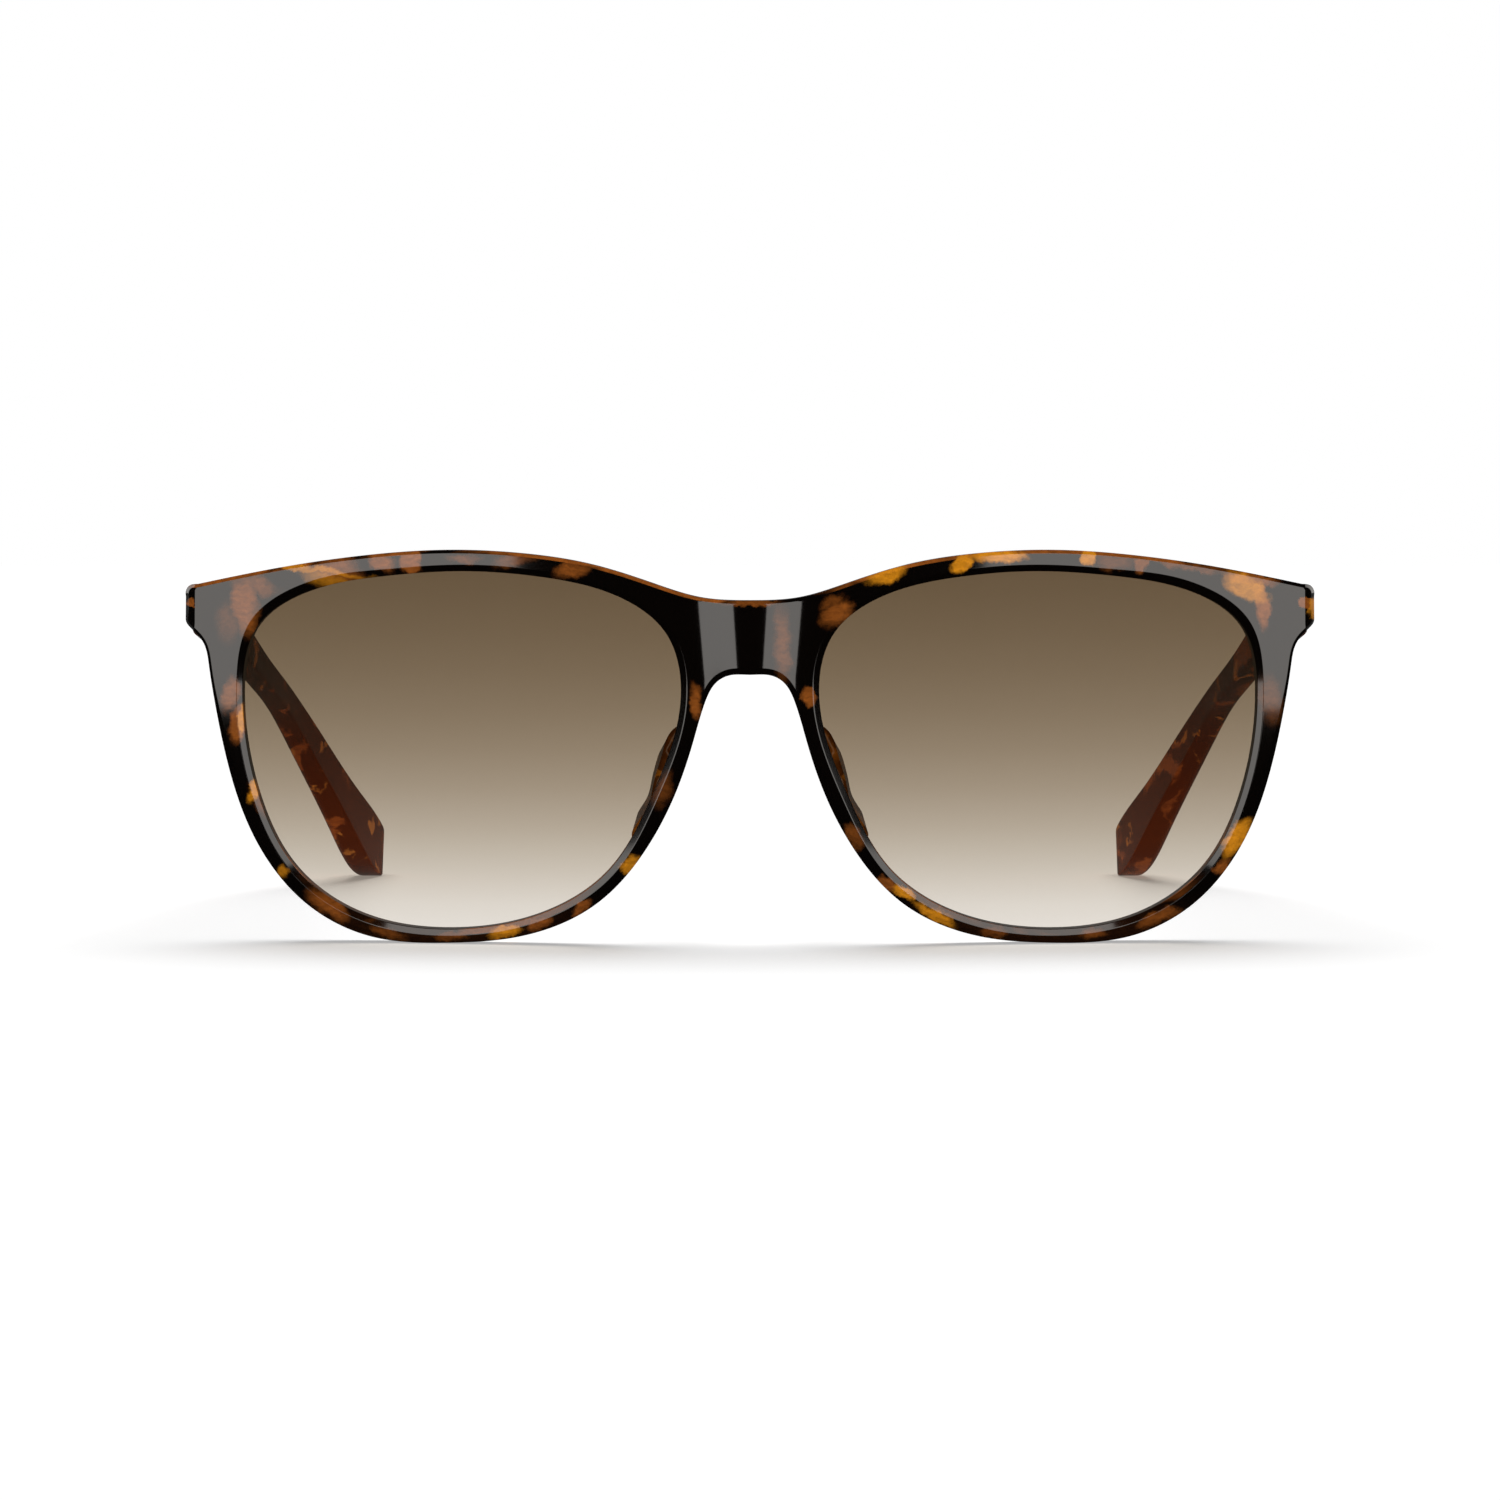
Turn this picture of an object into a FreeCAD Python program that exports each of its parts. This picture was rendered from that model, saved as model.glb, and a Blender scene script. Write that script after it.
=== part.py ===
import FreeCAD, Part
import math
import os

from FreeCAD import Placement, Rotation, Vector

# Cat eye sunglasses, standing on both rims and both temple tips as they rest on a table.
# +X is the wearer's left, +Y runs from the lenses back to the temple tips, +Z is up.
# Everything is drawn with y = 0 at the foremost point of the bridge and z = 0 on the table,
# and each sub-part is then placed by front_y, which centres the whole depth on the origin.

SIZES = {
    # whole front
    "frame_width": (146.0, "over the two endpieces"),
    "frame_height": (50.35, "table to the highest point of the brow"),
    "front_y": (-72.22, "half the overall depth, negative"),
    "front_radius": (190.0, "spherical face curve of each half"),
    "curve_height": (24.5, "height of the centre of the face curve"),
    "rim_depth": (4.0, "thickness of the front, front to back"),
    "crest_half_width": (8.0, "half width of the raised bridge"),
    "crest_height": (1.3, "how far the bridge stands proud"),
    "bevel_start": (71.7, "half width where the side bevel of the endpiece starts"),
    "bevel_depth": (2.4, "how far back the side bevel runs"),
    "brow_chamfer": (0.45, "outer front edge along the top"),
    "lens_chamfer": (0.85, "front edge round the lens"),
    # lenses
    "lens_setback": (1.2, "front of the lens behind the front of the rim"),
    "lens_thickness": (2.0, "plano lens"),
    "groove_depth": (0.75, "how far the lens reaches into the rim"),
    "lens_edge": (0.55, "each facet of the V edge of the lens"),
    # endpieces and hinges
    "lug_back": (18.3, "rear face of the endpiece"),
    "lug_inside": (68.25, "inner side face of the endpiece block"),
    "lug_length": (3.6, "length of the endpiece block"),
    "lug_bottom": (38.6, "lowest edge of the endpiece block"),
    "lug_top": (47.0, "above the highest edge of the endpiece block"),
    "pivot_x": (66.6, "hinge axis from the middle"),
    "pivot_y": (18.4, "hinge axis behind the bridge"),
    "knuckle_radius": (1.5, "hinge barrel"),
    "knuckle_height": (1.05, "one of five knuckles"),
    "knuckle_gap": (0.15, "between two knuckles"),
    "barrel_base": (39.3, "lowest face of the barrel"),
    "knuckle_bore": (0.7, "clearance hole for the screw"),
    "screw_radius": (0.65, "hinge screw shank"),
    "screw_head_radius": (1.15, "hinge screw head"),
    "screw_head_height": (0.55, "hinge screw head"),
    "washer_radius": (1.35, "nylon washer"),
    "washer_thickness": (0.11, "nylon washer"),
    "leaf_thickness": (0.9, "hinge leaf"),
    "front_leaf_y": (14.9, "seat of the front leaf"),
    "front_leaf_outer": (68.15, "outer edge of the front leaf"),
    "front_leaf_inner": (63.4, "inner edge of the front leaf"),
    "front_leaf_corner": (1.7, "lower inner corner cut off the front leaf, clear of the lens"),
    "temple_leaf_start": (18.8, "front edge of the temple leaf"),
    "temple_leaf_length": (9.2, "length of the temple leaf"),
    "temple_inside": (68.3, "inner face of the temple at the hinge"),
    "leaf_screw_radius": (0.45, "small screw shank"),
    "leaf_screw_head": (0.8, "small screw head, countersunk"),
    "leaf_screw_length": (2.2, "small screw, overall"),
    "front_screw_x": (64.55, "small screws of the front leaf"),
    "front_screw_low": (41.5, "lower small screw of the front leaf"),
    "front_screw_high": (43.9, "upper small screw of the front leaf"),
    "temple_screw_near": (22.6, "front small screw of the temple leaf"),
    "temple_screw_far": (26.2, "rear small screw of the temple leaf"),
    "temple_leaf_height": (4.4, "height of the temple leaf"),
    "temple_leaf_slope": (7.5, "slope of the temple leaf, degrees"),
    "slot_width": (0.3, "driver slot of every screw"),
    # temples
    "temple_outer_round": (1.2, "outer long edges of the temple"),
    "temple_inner_round": (0.35, "inner long edges of the temple"),
    "core_radius": (0.6, "stiffening wire in the temple"),
    # nose pads
    "pad_reach": (7.0, "how far a pad stands behind the front"),
}

# Outline of the right half of the front, seen from the front: (x, height).
BROW = [(6.04, 44.3), (12.1, 46.05), (20.2, 48.54), (29.3, 49.95), (38.4, 50.35),
        (50.7, 49.5), (61.1, 47.95), (71.6, 45.85)]
BROW_MIDDLE = (0.0, 43.95)
SIDE_CORNER = (72.55, 45.66)
SIDE_TOP = (73.0, 44.35)
SIDE_BOTTOM = (73.0, 41.3)
RIM = [(72.35, 40.3), (71.2, 39.25), (70.4, 38.1), (69.8, 35.6), (68.9, 30.2), (67.2, 22.4),
       (64.1, 13.8), (56.9, 4.7), (48.4, 0.66), (38.9, 0.04), (29.8, 0.89), (19.7, 5.15),
       (12.9, 12.8), (9.4, 19.6), (7.1, 26.4), (5.75, 30.9), (4.1, 33.7), (2.6, 34.45)]
BRIDGE_MIDDLE = (0.0, 34.53)

# Lens opening, clockwise from the nose side.
OPENING = [(8.8, 31.9), (10.65, 39.7), (16.6, 44.35), (26.2, 46.85), (36.5, 47.63),
           (47.1, 46.95), (57.35, 44.75), (63.25, 40.65), (65.3, 31.6), (63.4, 19.35),
           (58.6, 9.75), (49.4, 3.47), (38.6, 1.85), (27.2, 3.75), (18.1, 9.5), (12.45, 19.25)]
DRAWN_WIDTH = 146.0
DRAWN_HEIGHT = 50.35

# Stations along a temple: distance back, half spacing, height, thickness, tallness, slope.
TEMPLE = [(18.4, 70.4, 42.2, 4.2, 6.5, 0.0),
          (29.0, 70.1, 40.5, 4.1, 5.9, 8.5),
          (50.0, 69.2, 36.6, 3.7, 4.4, 10.0),
          (68.0, 68.4, 32.9, 3.4, 3.9, 10.5),
          (84.0, 67.6, 29.6, 3.3, 3.9, 13.0),
          (97.0, 66.6, 25.9, 3.4, 4.5, 22.0),
          (110.0, 64.5, 19.9, 3.7, 5.7, 30.0),
          (126.0, 60.8, 10.4, 4.1, 8.0, 33.0),
          (138.5, 58.1, 4.0, 4.2, 8.9, 33.0),
          (142.2, 57.4, 2.7, 4.0, 7.2, 33.0)]
# Front end of the stiffening wire, as a station with no thickness and tallness.
CORE_START = (30.5, 70.0, 40.2, 0.0, 0.0, 8.5)
CORE_END = 140.0

# Ground plan under the tip of a temple, which is cut flat where it rests on the table.
FOOT = [(40.0, 100.0), (80.0, 100.0), (80.0, 160.0), (40.0, 160.0)]

# A nose pad seen from the front, where it leaves the frame and at its rear face.
PAD_ROOT = [(7.9, 28.4), (9.7, 27.6), (11.2, 24.4), (12.3, 20.6), (13.4, 17.0), (14.9, 13.6),
            (13.6, 13.4), (11.6, 16.0), (9.9, 19.8), (8.3, 24.2)]
PAD_REAR = [(9.4, 26.4), (10.9, 25.4), (12.1, 23.0), (12.7, 20.6), (13.5, 18.0), (14.4, 15.6),
            (13.7, 15.4), (12.4, 17.2), (11.3, 20.0), (10.2, 23.0)]

doc = FreeCAD.newDocument("CatEyeSunglasses")
sheet = doc.addObject("Spreadsheet::Sheet", "sheet")
for row, (name, (value, note)) in enumerate(SIZES.items(), start=1):
    sheet.set("A%d" % row, name)
    sheet.set("B%d" % row, str(value))
    sheet.set("C%d" % row, note)
    sheet.setAlias("B%d" % row, name)
doc.recompute()


def size(name):
    return float(sheet.get(name))


def new_body(name):
    body = doc.addObject("PartDesign::Body", name)
    body.setExpression("Placement.Base.y", "sheet.front_y")
    return body


def plane_of(body, role):
    for feature in body.Origin.OriginFeatures:
        if feature.Role == role:
            return feature
    raise ValueError(role)


def new_sketch(body, name, role, offset=None):
    sketch = body.newObject("Sketcher::SketchObject", name)
    sketch.AttachmentSupport = [(plane_of(body, role), "")]
    sketch.MapMode = "FlatFace"
    if offset is not None:
        sketch.AttachmentOffset = offset
    return sketch


def curve_through(points, closed=False, first=None, last=None):
    """A smooth curve through points; first and last are end directions."""
    curve = Part.BSplineCurve()
    vectors = [Vector(p[0], p[1], 0) for p in points]
    if closed:
        curve.interpolate(Points=vectors, PeriodicFlag=True)
    elif first is not None:
        curve.interpolate(Points=vectors, InitialTangent=first, FinalTangent=last)
    else:
        curve.interpolate(Points=vectors)
    return curve


def in_pieces(curve, spans=4):
    """The same curve as several shorter ones, each with at most that many spans."""
    knots = curve.getKnots()
    cuts = knots[:-1:spans] + [knots[-1]]
    pieces = []
    for begin, end in zip(cuts, cuts[1:]):
        piece = curve.copy()
        piece.segment(begin, end)
        pieces.append(piece)
    return pieces


def in_mirrored_pieces(points, first=None, last=None):
    """A curve through points that are symmetric about x = 0, cut the same way in both halves."""
    pieces = []
    for sign in (1, -1):
        curve = curve_through([(sign * x, z) for x, z in points], first=first, last=last)
        knots = curve.getKnots()
        middle = len(knots) // 2
        half = curve.copy()
        half.segment(knots[0], knots[middle])
        pieces += in_pieces(half)
    return pieces


def line(start, end):
    return Part.LineSegment(Vector(start[0], start[1], 0), Vector(end[0], end[1], 0))


def arc_through(start, middle, end):
    points = [Vector(p[0], p[1], 0) for p in (start, middle, end)]
    return Part.Arc(*points)


def scaled(points):
    """Outline points at the driven width and height of the front."""
    wide = size("frame_width") / DRAWN_WIDTH
    tall = size("frame_height") / DRAWN_HEIGHT
    return [(x * wide, z * tall) for x, z in points]


def mirrored(points):
    return [(-x, z) for x, z in reversed(points)]


def grown(points, amount):
    """Closed outline moved outwards by amount along its own normals."""
    result = []
    count = len(points)
    for i, (x, z) in enumerate(points):
        before = points[i - 1]
        after = points[(i + 1) % count]
        dx = after[0] - before[0]
        dz = after[1] - before[1]
        length = math.hypot(dx, dz)
        result.append((x - dz / length * amount, z + dx / length * amount))
    return result


def add_feature(body, kind, name, sketch, **values):
    feature = body.newObject("PartDesign::" + kind, name)
    feature.Profile = sketch
    for key, value in values.items():
        if isinstance(value, str) and value.startswith("sheet."):
            feature.setExpression(key, value)
        else:
            setattr(feature, key, value)
    return feature


def cut_checked(body, feature):
    """Recompute and make sure that a cutting feature has removed something."""
    before = feature.BaseFeature.Shape.Volume
    doc.recompute()
    if not feature.Shape.Volume < before - 1e-6:
        raise RuntimeError(feature.Name + " cuts nothing")


# ---- curved slab that both the front and the lenses are cut from -------------------------------

SWING = 22.0         # degrees of side curve that are made before the outline is cut
SHEET_REACH = 90.0   # half width of the cutting sheets
FAR = 60.0           # further than any cut has to go
BROW_LIMIT = 42.5    # the brow's front edge lies above this height


def sphere_back():
    """Distance back of the centre of both spherical face curves."""
    return size("crest_height") + size("front_radius")


def face_arc(setback, x_from, x_to):
    """Arc of the face curve, setback behind the front, between two distances from the middle."""
    radius = size("front_radius") - setback
    centre_x = math.copysign(size("crest_half_width"), x_from + x_to)

    def on_arc(x):
        return (x, -math.sqrt(radius ** 2 - (x - centre_x) ** 2))

    return arc_through(on_arc(x_from), on_arc((x_from + x_to) / 2), on_arc(x_to)), \
        on_arc(x_from), on_arc(x_to)


def slab_sketch(body, name):
    """Sketch seen from above whose H axis is the axis of the side curve."""
    offset = Placement(Vector(0, sphere_back(), size("curve_height")), Rotation())
    return new_sketch(body, name, "XY_Plane", offset)


def revolve_slab(body, sketch, name):
    feature = body.newObject("PartDesign::Revolution", name)
    feature.Profile = sketch
    feature.ReferenceAxis = (sketch, ["H_Axis"])
    feature.Midplane = True
    feature.Angle = SWING
    doc.recompute()
    return feature


def ring_pocket(body, name, curves):
    """Cut away everything outside a closed outline."""
    sketch = new_sketch(body, name + "_outline", "XZ_Plane")
    sketch.addGeometry(curves, False)
    corners = [(-SHEET_REACH, -FAR), (SHEET_REACH, -FAR), (SHEET_REACH, 2 * FAR), (-SHEET_REACH, 2 * FAR)]
    for i in range(4):
        sketch.addGeometry(line(corners[i], corners[(i + 1) % 4]), False)
    pocket = add_feature(body, "Pocket", name, sketch, Length=2 * FAR, Midplane=True)
    cut_checked(body, pocket)
    return pocket


def front_outline():
    brow = scaled(BROW)
    rim = scaled(RIM)
    middle_top = scaled([BROW_MIDDLE])
    middle_low = scaled([BRIDGE_MIDDLE])
    corner, top, bottom = scaled([SIDE_CORNER, SIDE_TOP, SIDE_BOTTOM])
    down = Vector(0, -3, 0)
    curves = in_mirrored_pieces(mirrored(brow) + middle_top + brow)
    curves += in_mirrored_pieces([bottom] + rim + middle_low + mirrored(rim) + mirrored([bottom]),
                                 first=down, last=-down)
    for sign in (1, -1):
        ends = [(sign * x, z) for x, z in (brow[-1], corner, top, bottom)]
        curves.append(arc_through(ends[0], ends[1], ends[2]))
        curves.append(line(ends[2], ends[3]))
    return curves


def outer_normal_is_wall(face):
    """True for faces that run straight back."""
    u0, u1, v0, v1 = face.ParameterRange
    return abs(face.normalAt((u0 + u1) / 2, (v0 + v1) / 2).y) < 0.02


def rim_edges(shape, wanted):
    """Names of the edges between a wall and a curved face whose middle satisfies wanted."""
    names = []
    for index, edge in enumerate(shape.Edges, start=1):
        faces = shape.ancestorsOfType(edge, Part.Face)
        walls = [face for face in faces if outer_normal_is_wall(face)]
        if len(faces) == 2 and len(walls) == 1:
            middle = edge.valueAt(edge.getParameterByLength(edge.Length / 2))
            if wanted(middle):
                names.append("Edge%d" % index)
    return names


def front_surface(x, z):
    """Distance back of the front face at x and height z."""
    reach = max(abs(x) - size("crest_half_width"), 0.0)
    rise = z - size("curve_height")
    return sphere_back() - math.sqrt(size("front_radius") ** 2 - reach ** 2 - rise ** 2)


def make_front():
    body = new_body("front_block")
    profile = slab_sketch(body, "face_profile")
    crest = size("crest_half_width")
    height = size("crest_height")
    back = height + size("rim_depth") - sphere_back()
    lift = -sphere_back()
    half = crest / 2
    bulge = (half ** 2 + (height / 2) ** 2) / height
    quarter_drop = bulge - math.sqrt(bulge ** 2 - (half / 2) ** 2)
    curves = [arc_through((-half, lift + height / 2), (0, lift), (half, lift + height / 2))]
    side_x = size("frame_width") / 2 + 1.0
    for sign in (1, -1):
        curves.append(arc_through((sign * half, lift + height / 2),
                                  (sign * half * 1.5, lift + height - quarter_drop),
                                  (sign * crest, lift + height)))
        front, _, front_end = face_arc(0, sign * crest, sign * size("bevel_start"))
        rear, _, rear_end = face_arc(size("rim_depth"), sign * crest, sign * side_x)
        bevel_end = (sign * side_x, front_end[1] + size("bevel_depth"))
        curves += [front, rear, line(front_end, bevel_end), line(bevel_end, rear_end)]
    curves.append(line((-crest, back), (crest, back)))
    profile.addGeometry(curves, False)
    revolve_slab(body, profile, "face_slab")

    # endpiece blocks that the temples butt against
    for sign, word in ((1, "left"), (-1, "right")):
        offset = Placement(Vector(0, 0, -size("lug_back")), Rotation())
        sketch = new_sketch(body, "lug_outline_" + word, "XZ_Plane", offset)
        inner = sign * size("lug_inside")
        outer = sign * side_x
        low = size("lug_bottom")
        high = size("lug_top")
        corners = [(inner, low), (outer, low), (outer, high), (inner, high)]
        for i in range(4):
            sketch.addGeometry(line(corners[i], corners[(i + 1) % 4]), False)
        add_feature(body, "Pad", "lug_" + word, sketch, Length="sheet.lug_length")
        doc.recompute()

    outline = ring_pocket(body, "outline", front_outline())

    brow = rim_edges(outline.Shape, lambda p: abs(p.x) < size("bevel_start") - 0.2
                     and p.y < front_surface(p.x, p.z) + 0.2 and p.z > BROW_LIMIT)
    edge_chamfer(body, "brow_edge", outline, brow, "sheet.brow_chamfer")

    for sign, word in ((1, "left"), (-1, "right")):
        opening = new_sketch(body, "lens_opening_" + word, "XZ_Plane")
        opening.addGeometry(in_pieces(curve_through(lens_points(sign, 0.0), closed=True)), False)
        pocket = add_feature(body, "Pocket", "opening_" + word, opening, Length=2 * FAR, Midplane=True)
        cut_checked(body, pocket)
    inner = rim_edges(pocket.Shape, in_opening_front)
    edge_chamfer(body, "lens_edge", pocket, inner, "sheet.lens_chamfer")
    return body


def lens_points(sign, extra):
    points = grown(scaled(OPENING), extra)
    return [(sign * x, z) for x, z in points]


opening_curve = curve_through(lens_points(1, 0.0), closed=True)
dense_opening = [(v.x, v.y) for v in opening_curve.toShape().discretize(600)]


def in_opening_front(p):
    """True for a point on the front edge of a lens opening."""
    near = min(math.hypot(abs(p.x) - x, p.z - z) for x, z in dense_opening)
    return near < 0.15 and p.y < front_surface(p.x, p.z) + 0.2


def edge_chamfer(body, name, base, edges, amount):
    chamfer = body.newObject("PartDesign::Chamfer", name)
    chamfer.Base = (base, edges)
    chamfer.setExpression("Size", amount)
    doc.recompute()
    return chamfer


def make_lens():
    body = new_body("lens_left")
    profile = slab_sketch(body, "lens_profile")
    near = 6.0
    far = 68.5
    front, front_near, front_far = face_arc(size("lens_setback"), near, far)
    rear, rear_near, rear_far = face_arc(size("lens_setback") + size("lens_thickness"), near, far)
    profile.addGeometry([front, rear, line(front_near, rear_near), line(front_far, rear_far)], False)
    revolve_slab(body, profile, "lens_slab")
    outline = in_pieces(curve_through(lens_points(1, size("groove_depth")), closed=True))
    cut = ring_pocket(body, "lens_cut", outline)
    edge_chamfer(body, "lens_bevel", cut, rim_edges(cut.Shape, lambda p: True), "sheet.lens_edge")
    return body


# ---- small pieces from primitives ----------------------------------------------------------------

def placed(obj, x, y, z, turn=None):
    """Put a primitive at drawing coordinates, shifted with the rest of the object."""
    obj.Placement = Placement(Vector(x, y, z), turn or Rotation())
    obj.setExpression("Placement.Base.y", "sheet.front_y + %.6f" % y)
    return obj


def box(name, low, high):
    obj = doc.addObject("Part::Box", name)
    obj.Length = high[0] - low[0]
    obj.Width = high[1] - low[1]
    obj.Height = high[2] - low[2]
    return placed(obj, *low)


def cylinder(name, radius, height, x, y, z, turn=None):
    """Cylinder whose radius is a cell of the sheet."""
    obj = doc.addObject("Part::Cylinder", name)
    obj.setExpression("Radius", "sheet." + radius)
    obj.Height = height
    return placed(obj, x, y, z, turn)


def fused(name, parts):
    obj = doc.addObject("Part::MultiFuse", name)
    obj.Shapes = parts
    return obj


def cut(name, base, tool):
    obj = doc.addObject("Part::Cut", name)
    obj.Base = base
    obj.Tool = tool
    return obj


def knuckle_bottom(index):
    return size("barrel_base") + index * (size("knuckle_height") + size("knuckle_gap"))


def knuckles(name, indices):
    return [cylinder("%s_%d" % (name, i), "knuckle_radius", size("knuckle_height"),
                     size("pivot_x"), size("pivot_y"), knuckle_bottom(i)) for i in indices]


FRONT_KNUCKLES = (0, 2, 4)
TEMPLE_KNUCKLES = (1, 3)
BARREL_HEIGHT = knuckle_bottom(4) + size("knuckle_height") - size("barrel_base")


def make_pivot_screw():
    base = size("barrel_base")
    shank = cylinder("pivot_shank", "screw_radius", BARREL_HEIGHT + 0.1,
                     size("pivot_x"), size("pivot_y"), base)
    head = cylinder("pivot_head", "screw_head_radius", size("screw_head_height"),
                    size("pivot_x"), size("pivot_y"), base + BARREL_HEIGHT)
    top = base + BARREL_HEIGHT + size("screw_head_height")
    half = size("slot_width") / 2
    reach = size("screw_head_radius") + 0.2
    slot = box("pivot_slot", (size("pivot_x") - reach, size("pivot_y") - half, top - 0.25),
               (size("pivot_x") + reach, size("pivot_y") + half, top + 0.1))
    return cut("hinge_pivot_screw_left", fused("pivot_solid", [shank, head]), slot)


def make_washers():
    """Four thin washers, one in each gap of the barrel."""
    rings = []
    side_gap = (size("knuckle_gap") - size("washer_thickness")) / 2
    for index in range(4):
        z = knuckle_bottom(index) + size("knuckle_height") + side_gap
        rings.append(cylinder("washer_%d" % index, "washer_radius", size("washer_thickness"),
                              size("pivot_x"), size("pivot_y"), z))
    bore = cylinder("washer_bore", "knuckle_bore", BARREL_HEIGHT + 1.0,
                    size("pivot_x"), size("pivot_y"), size("barrel_base") - 0.5)
    return cut("hinge_washers_left", fused("washer_discs", rings), bore)


def make_leaf_screws(label, seats, turn, slot_half_sizes):
    """Countersunk screws whose heads are flush at the seats; turn points the shank inwards."""
    flare = size("leaf_screw_head") - size("leaf_screw_radius")
    solids = []
    slots = []
    for index, (x, y, z) in enumerate(seats):
        head = doc.addObject("Part::Cone", "%s_head_%d" % (label, index))
        head.setExpression("Radius1", "sheet.leaf_screw_head")
        head.setExpression("Radius2", "sheet.leaf_screw_radius")
        head.Height = flare
        placed(head, x, y, z, turn)
        shank = cylinder("%s_shank_%d" % (label, index), "leaf_screw_radius",
                         size("leaf_screw_length"), x, y, z, turn)
        solids += [head, shank]
        dx, dy, dz = slot_half_sizes
        slots.append(box("%s_slot_%d" % (label, index), (x - dx, y - dy, z - dz),
                         (x + dx, y + dy, z + dz)))
    return cut(label, fused(label + "_solid", solids), fused(label + "_slots", slots))


def make_front_leaf(screws):
    base = size("barrel_base")
    seat = size("front_leaf_y")
    plate = box("front_plate", (size("front_leaf_inner"), seat, base - 0.1),
                (size("front_leaf_outer"), seat + size("leaf_thickness"), base + BARREL_HEIGHT + 0.1))
    parts = [plate] + knuckles("front_knuckle", FRONT_KNUCKLES)
    for i in FRONT_KNUCKLES:
        z = knuckle_bottom(i)
        parts.append(box("front_web_%d" % i, (size("pivot_x") - 1.1, seat + 0.2, z),
                         (size("pivot_x") + 1.1, size("pivot_y") - 0.2, z + size("knuckle_height"))))
    clear = knuckle_bottom(1) - size("knuckle_gap") / 2
    wide = cylinder("front_bore", "knuckle_bore", BARREL_HEIGHT, size("pivot_x"), size("pivot_y"), clear)
    tight = cylinder("front_thread", "screw_radius", BARREL_HEIGHT, size("pivot_x"), size("pivot_y"),
                     base - 0.5)
    reach = size("front_leaf_corner")
    corner = box("front_leaf_corner_cut", (0, 0, 0), (2 * reach, 3 * size("leaf_thickness"), 2 * reach))
    placed(corner, size("front_leaf_inner") - reach, seat - size("leaf_thickness"), base - 0.1,
           Rotation(Vector(0, 1, 0), 45))
    return cut("front_hinge_leaf_left", fused("front_leaf_solid", parts),
               fused("front_leaf_holes", [wide, tight, screws, corner]))


def make_temple_leaf(screws):
    seat = size("temple_inside")
    length = size("temple_leaf_length")
    tall = size("temple_leaf_height")
    middle = temple_height_at(size("temple_leaf_start"))
    turn = Rotation(Vector(1, 0, 0), -size("temple_leaf_slope"))
    plate = doc.addObject("Part::Box", "temple_plate")
    plate.setExpression("Length", "sheet.leaf_thickness")
    plate.setExpression("Width", "sheet.temple_leaf_length")
    plate.setExpression("Height", "sheet.temple_leaf_height")
    placed(plate, seat, size("temple_leaf_start"), middle - tall / 2, turn)
    parts = [plate] + knuckles("temple_knuckle", TEMPLE_KNUCKLES)
    for i in TEMPLE_KNUCKLES:
        z = knuckle_bottom(i)
        parts.append(box("temple_web_%d" % i, (size("pivot_x"), size("pivot_y") + 0.25, z),
                         (seat + 0.5, size("pivot_y") + 1.45, z + size("knuckle_height"))))
    bore = cylinder("temple_bore", "knuckle_bore", BARREL_HEIGHT + 1.0,
                    size("pivot_x"), size("pivot_y"), size("barrel_base") - 0.5)
    return cut("temple_hinge_leaf_left", fused("temple_leaf_solid", parts),
               fused("temple_leaf_holes", [bore, screws]))


def temple_height_at(y):
    for before, after in zip(TEMPLE, TEMPLE[1:]):
        if before[0] <= y <= after[0]:
            part = (y - before[0]) / (after[0] - before[0])
            return before[2] + part * (after[2] - before[2])
    raise ValueError(y)


# ---- temples --------------------------------------------------------------------------------------

def station_sketch(body, name, y, x, z, slope):
    turn = Rotation(Vector(1, 0, 0), -slope)
    return new_sketch(body, name, "XZ_Plane", Placement(Vector(x, z, -y), turn))


def rounded_section(sketch, width, height, inner_round, outer_round):
    """Rectangle with rounded corners about the sketch origin; +x is the outer side."""
    hw = width / 2
    hh = height / 2
    corners = [(hw, hh, outer_round, 0), (-hw, hh, inner_round, 90),
               (-hw, -hh, inner_round, 180), (hw, -hh, outer_round, 270)]
    ends = []
    for x, z, radius, start in corners:
        cx = x - math.copysign(radius, x)
        cz = z - math.copysign(radius, z)
        on_arc = [(cx + radius * math.cos(math.radians(start + a)),
                   cz + radius * math.sin(math.radians(start + a))) for a in (0, 45, 90)]
        ends.append(on_arc)
    for i in range(4):
        sketch.addGeometry(arc_through(*ends[i]), False)
        sketch.addGeometry(line(ends[i][2], ends[(i + 1) % 4][0]), False)


def loft(body, name, sketches):
    feature = body.newObject("PartDesign::AdditiveLoft", name)
    feature.Profile = sketches[0]
    feature.Sections = sketches[1:]
    doc.recompute()
    return feature


def make_temple_blank():
    body = new_body("temple_blank")
    sketches = []
    for i, (y, x, z, width, height, slope) in enumerate(TEMPLE):
        sketch = station_sketch(body, "temple_section_%d" % i, y, x, z, slope)
        rounded_section(sketch, width, height, size("temple_inner_round"), size("temple_outer_round"))
        sketches.append(sketch)
    loft(body, "temple_loft", sketches)
    foot = new_sketch(body, "table_plane", "XY_Plane")
    for i in range(4):
        foot.addGeometry(line(FOOT[i], FOOT[(i + 1) % 4]), False)
    flat = add_feature(body, "Pocket", "resting_flat", foot, Length=5.0)
    cut_checked(body, flat)
    return body


def make_core():
    body = new_body("temple_core_left")
    sketches = []
    stations = [CORE_START] + [s for s in TEMPLE if CORE_START[0] < s[0] < CORE_END]
    for i, (y, x, z, _, _, slope) in enumerate(stations):
        sketch = station_sketch(body, "core_section_%d" % i, y, x, z, slope)
        sketch.addGeometry(Part.Circle(Vector(0, 0, 0), Vector(0, 0, 1), size("core_radius")), False)
        sketches.append(sketch)
    loft(body, "core_loft", sketches)
    return body


# ---- nose pads ------------------------------------------------------------------------------------

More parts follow.
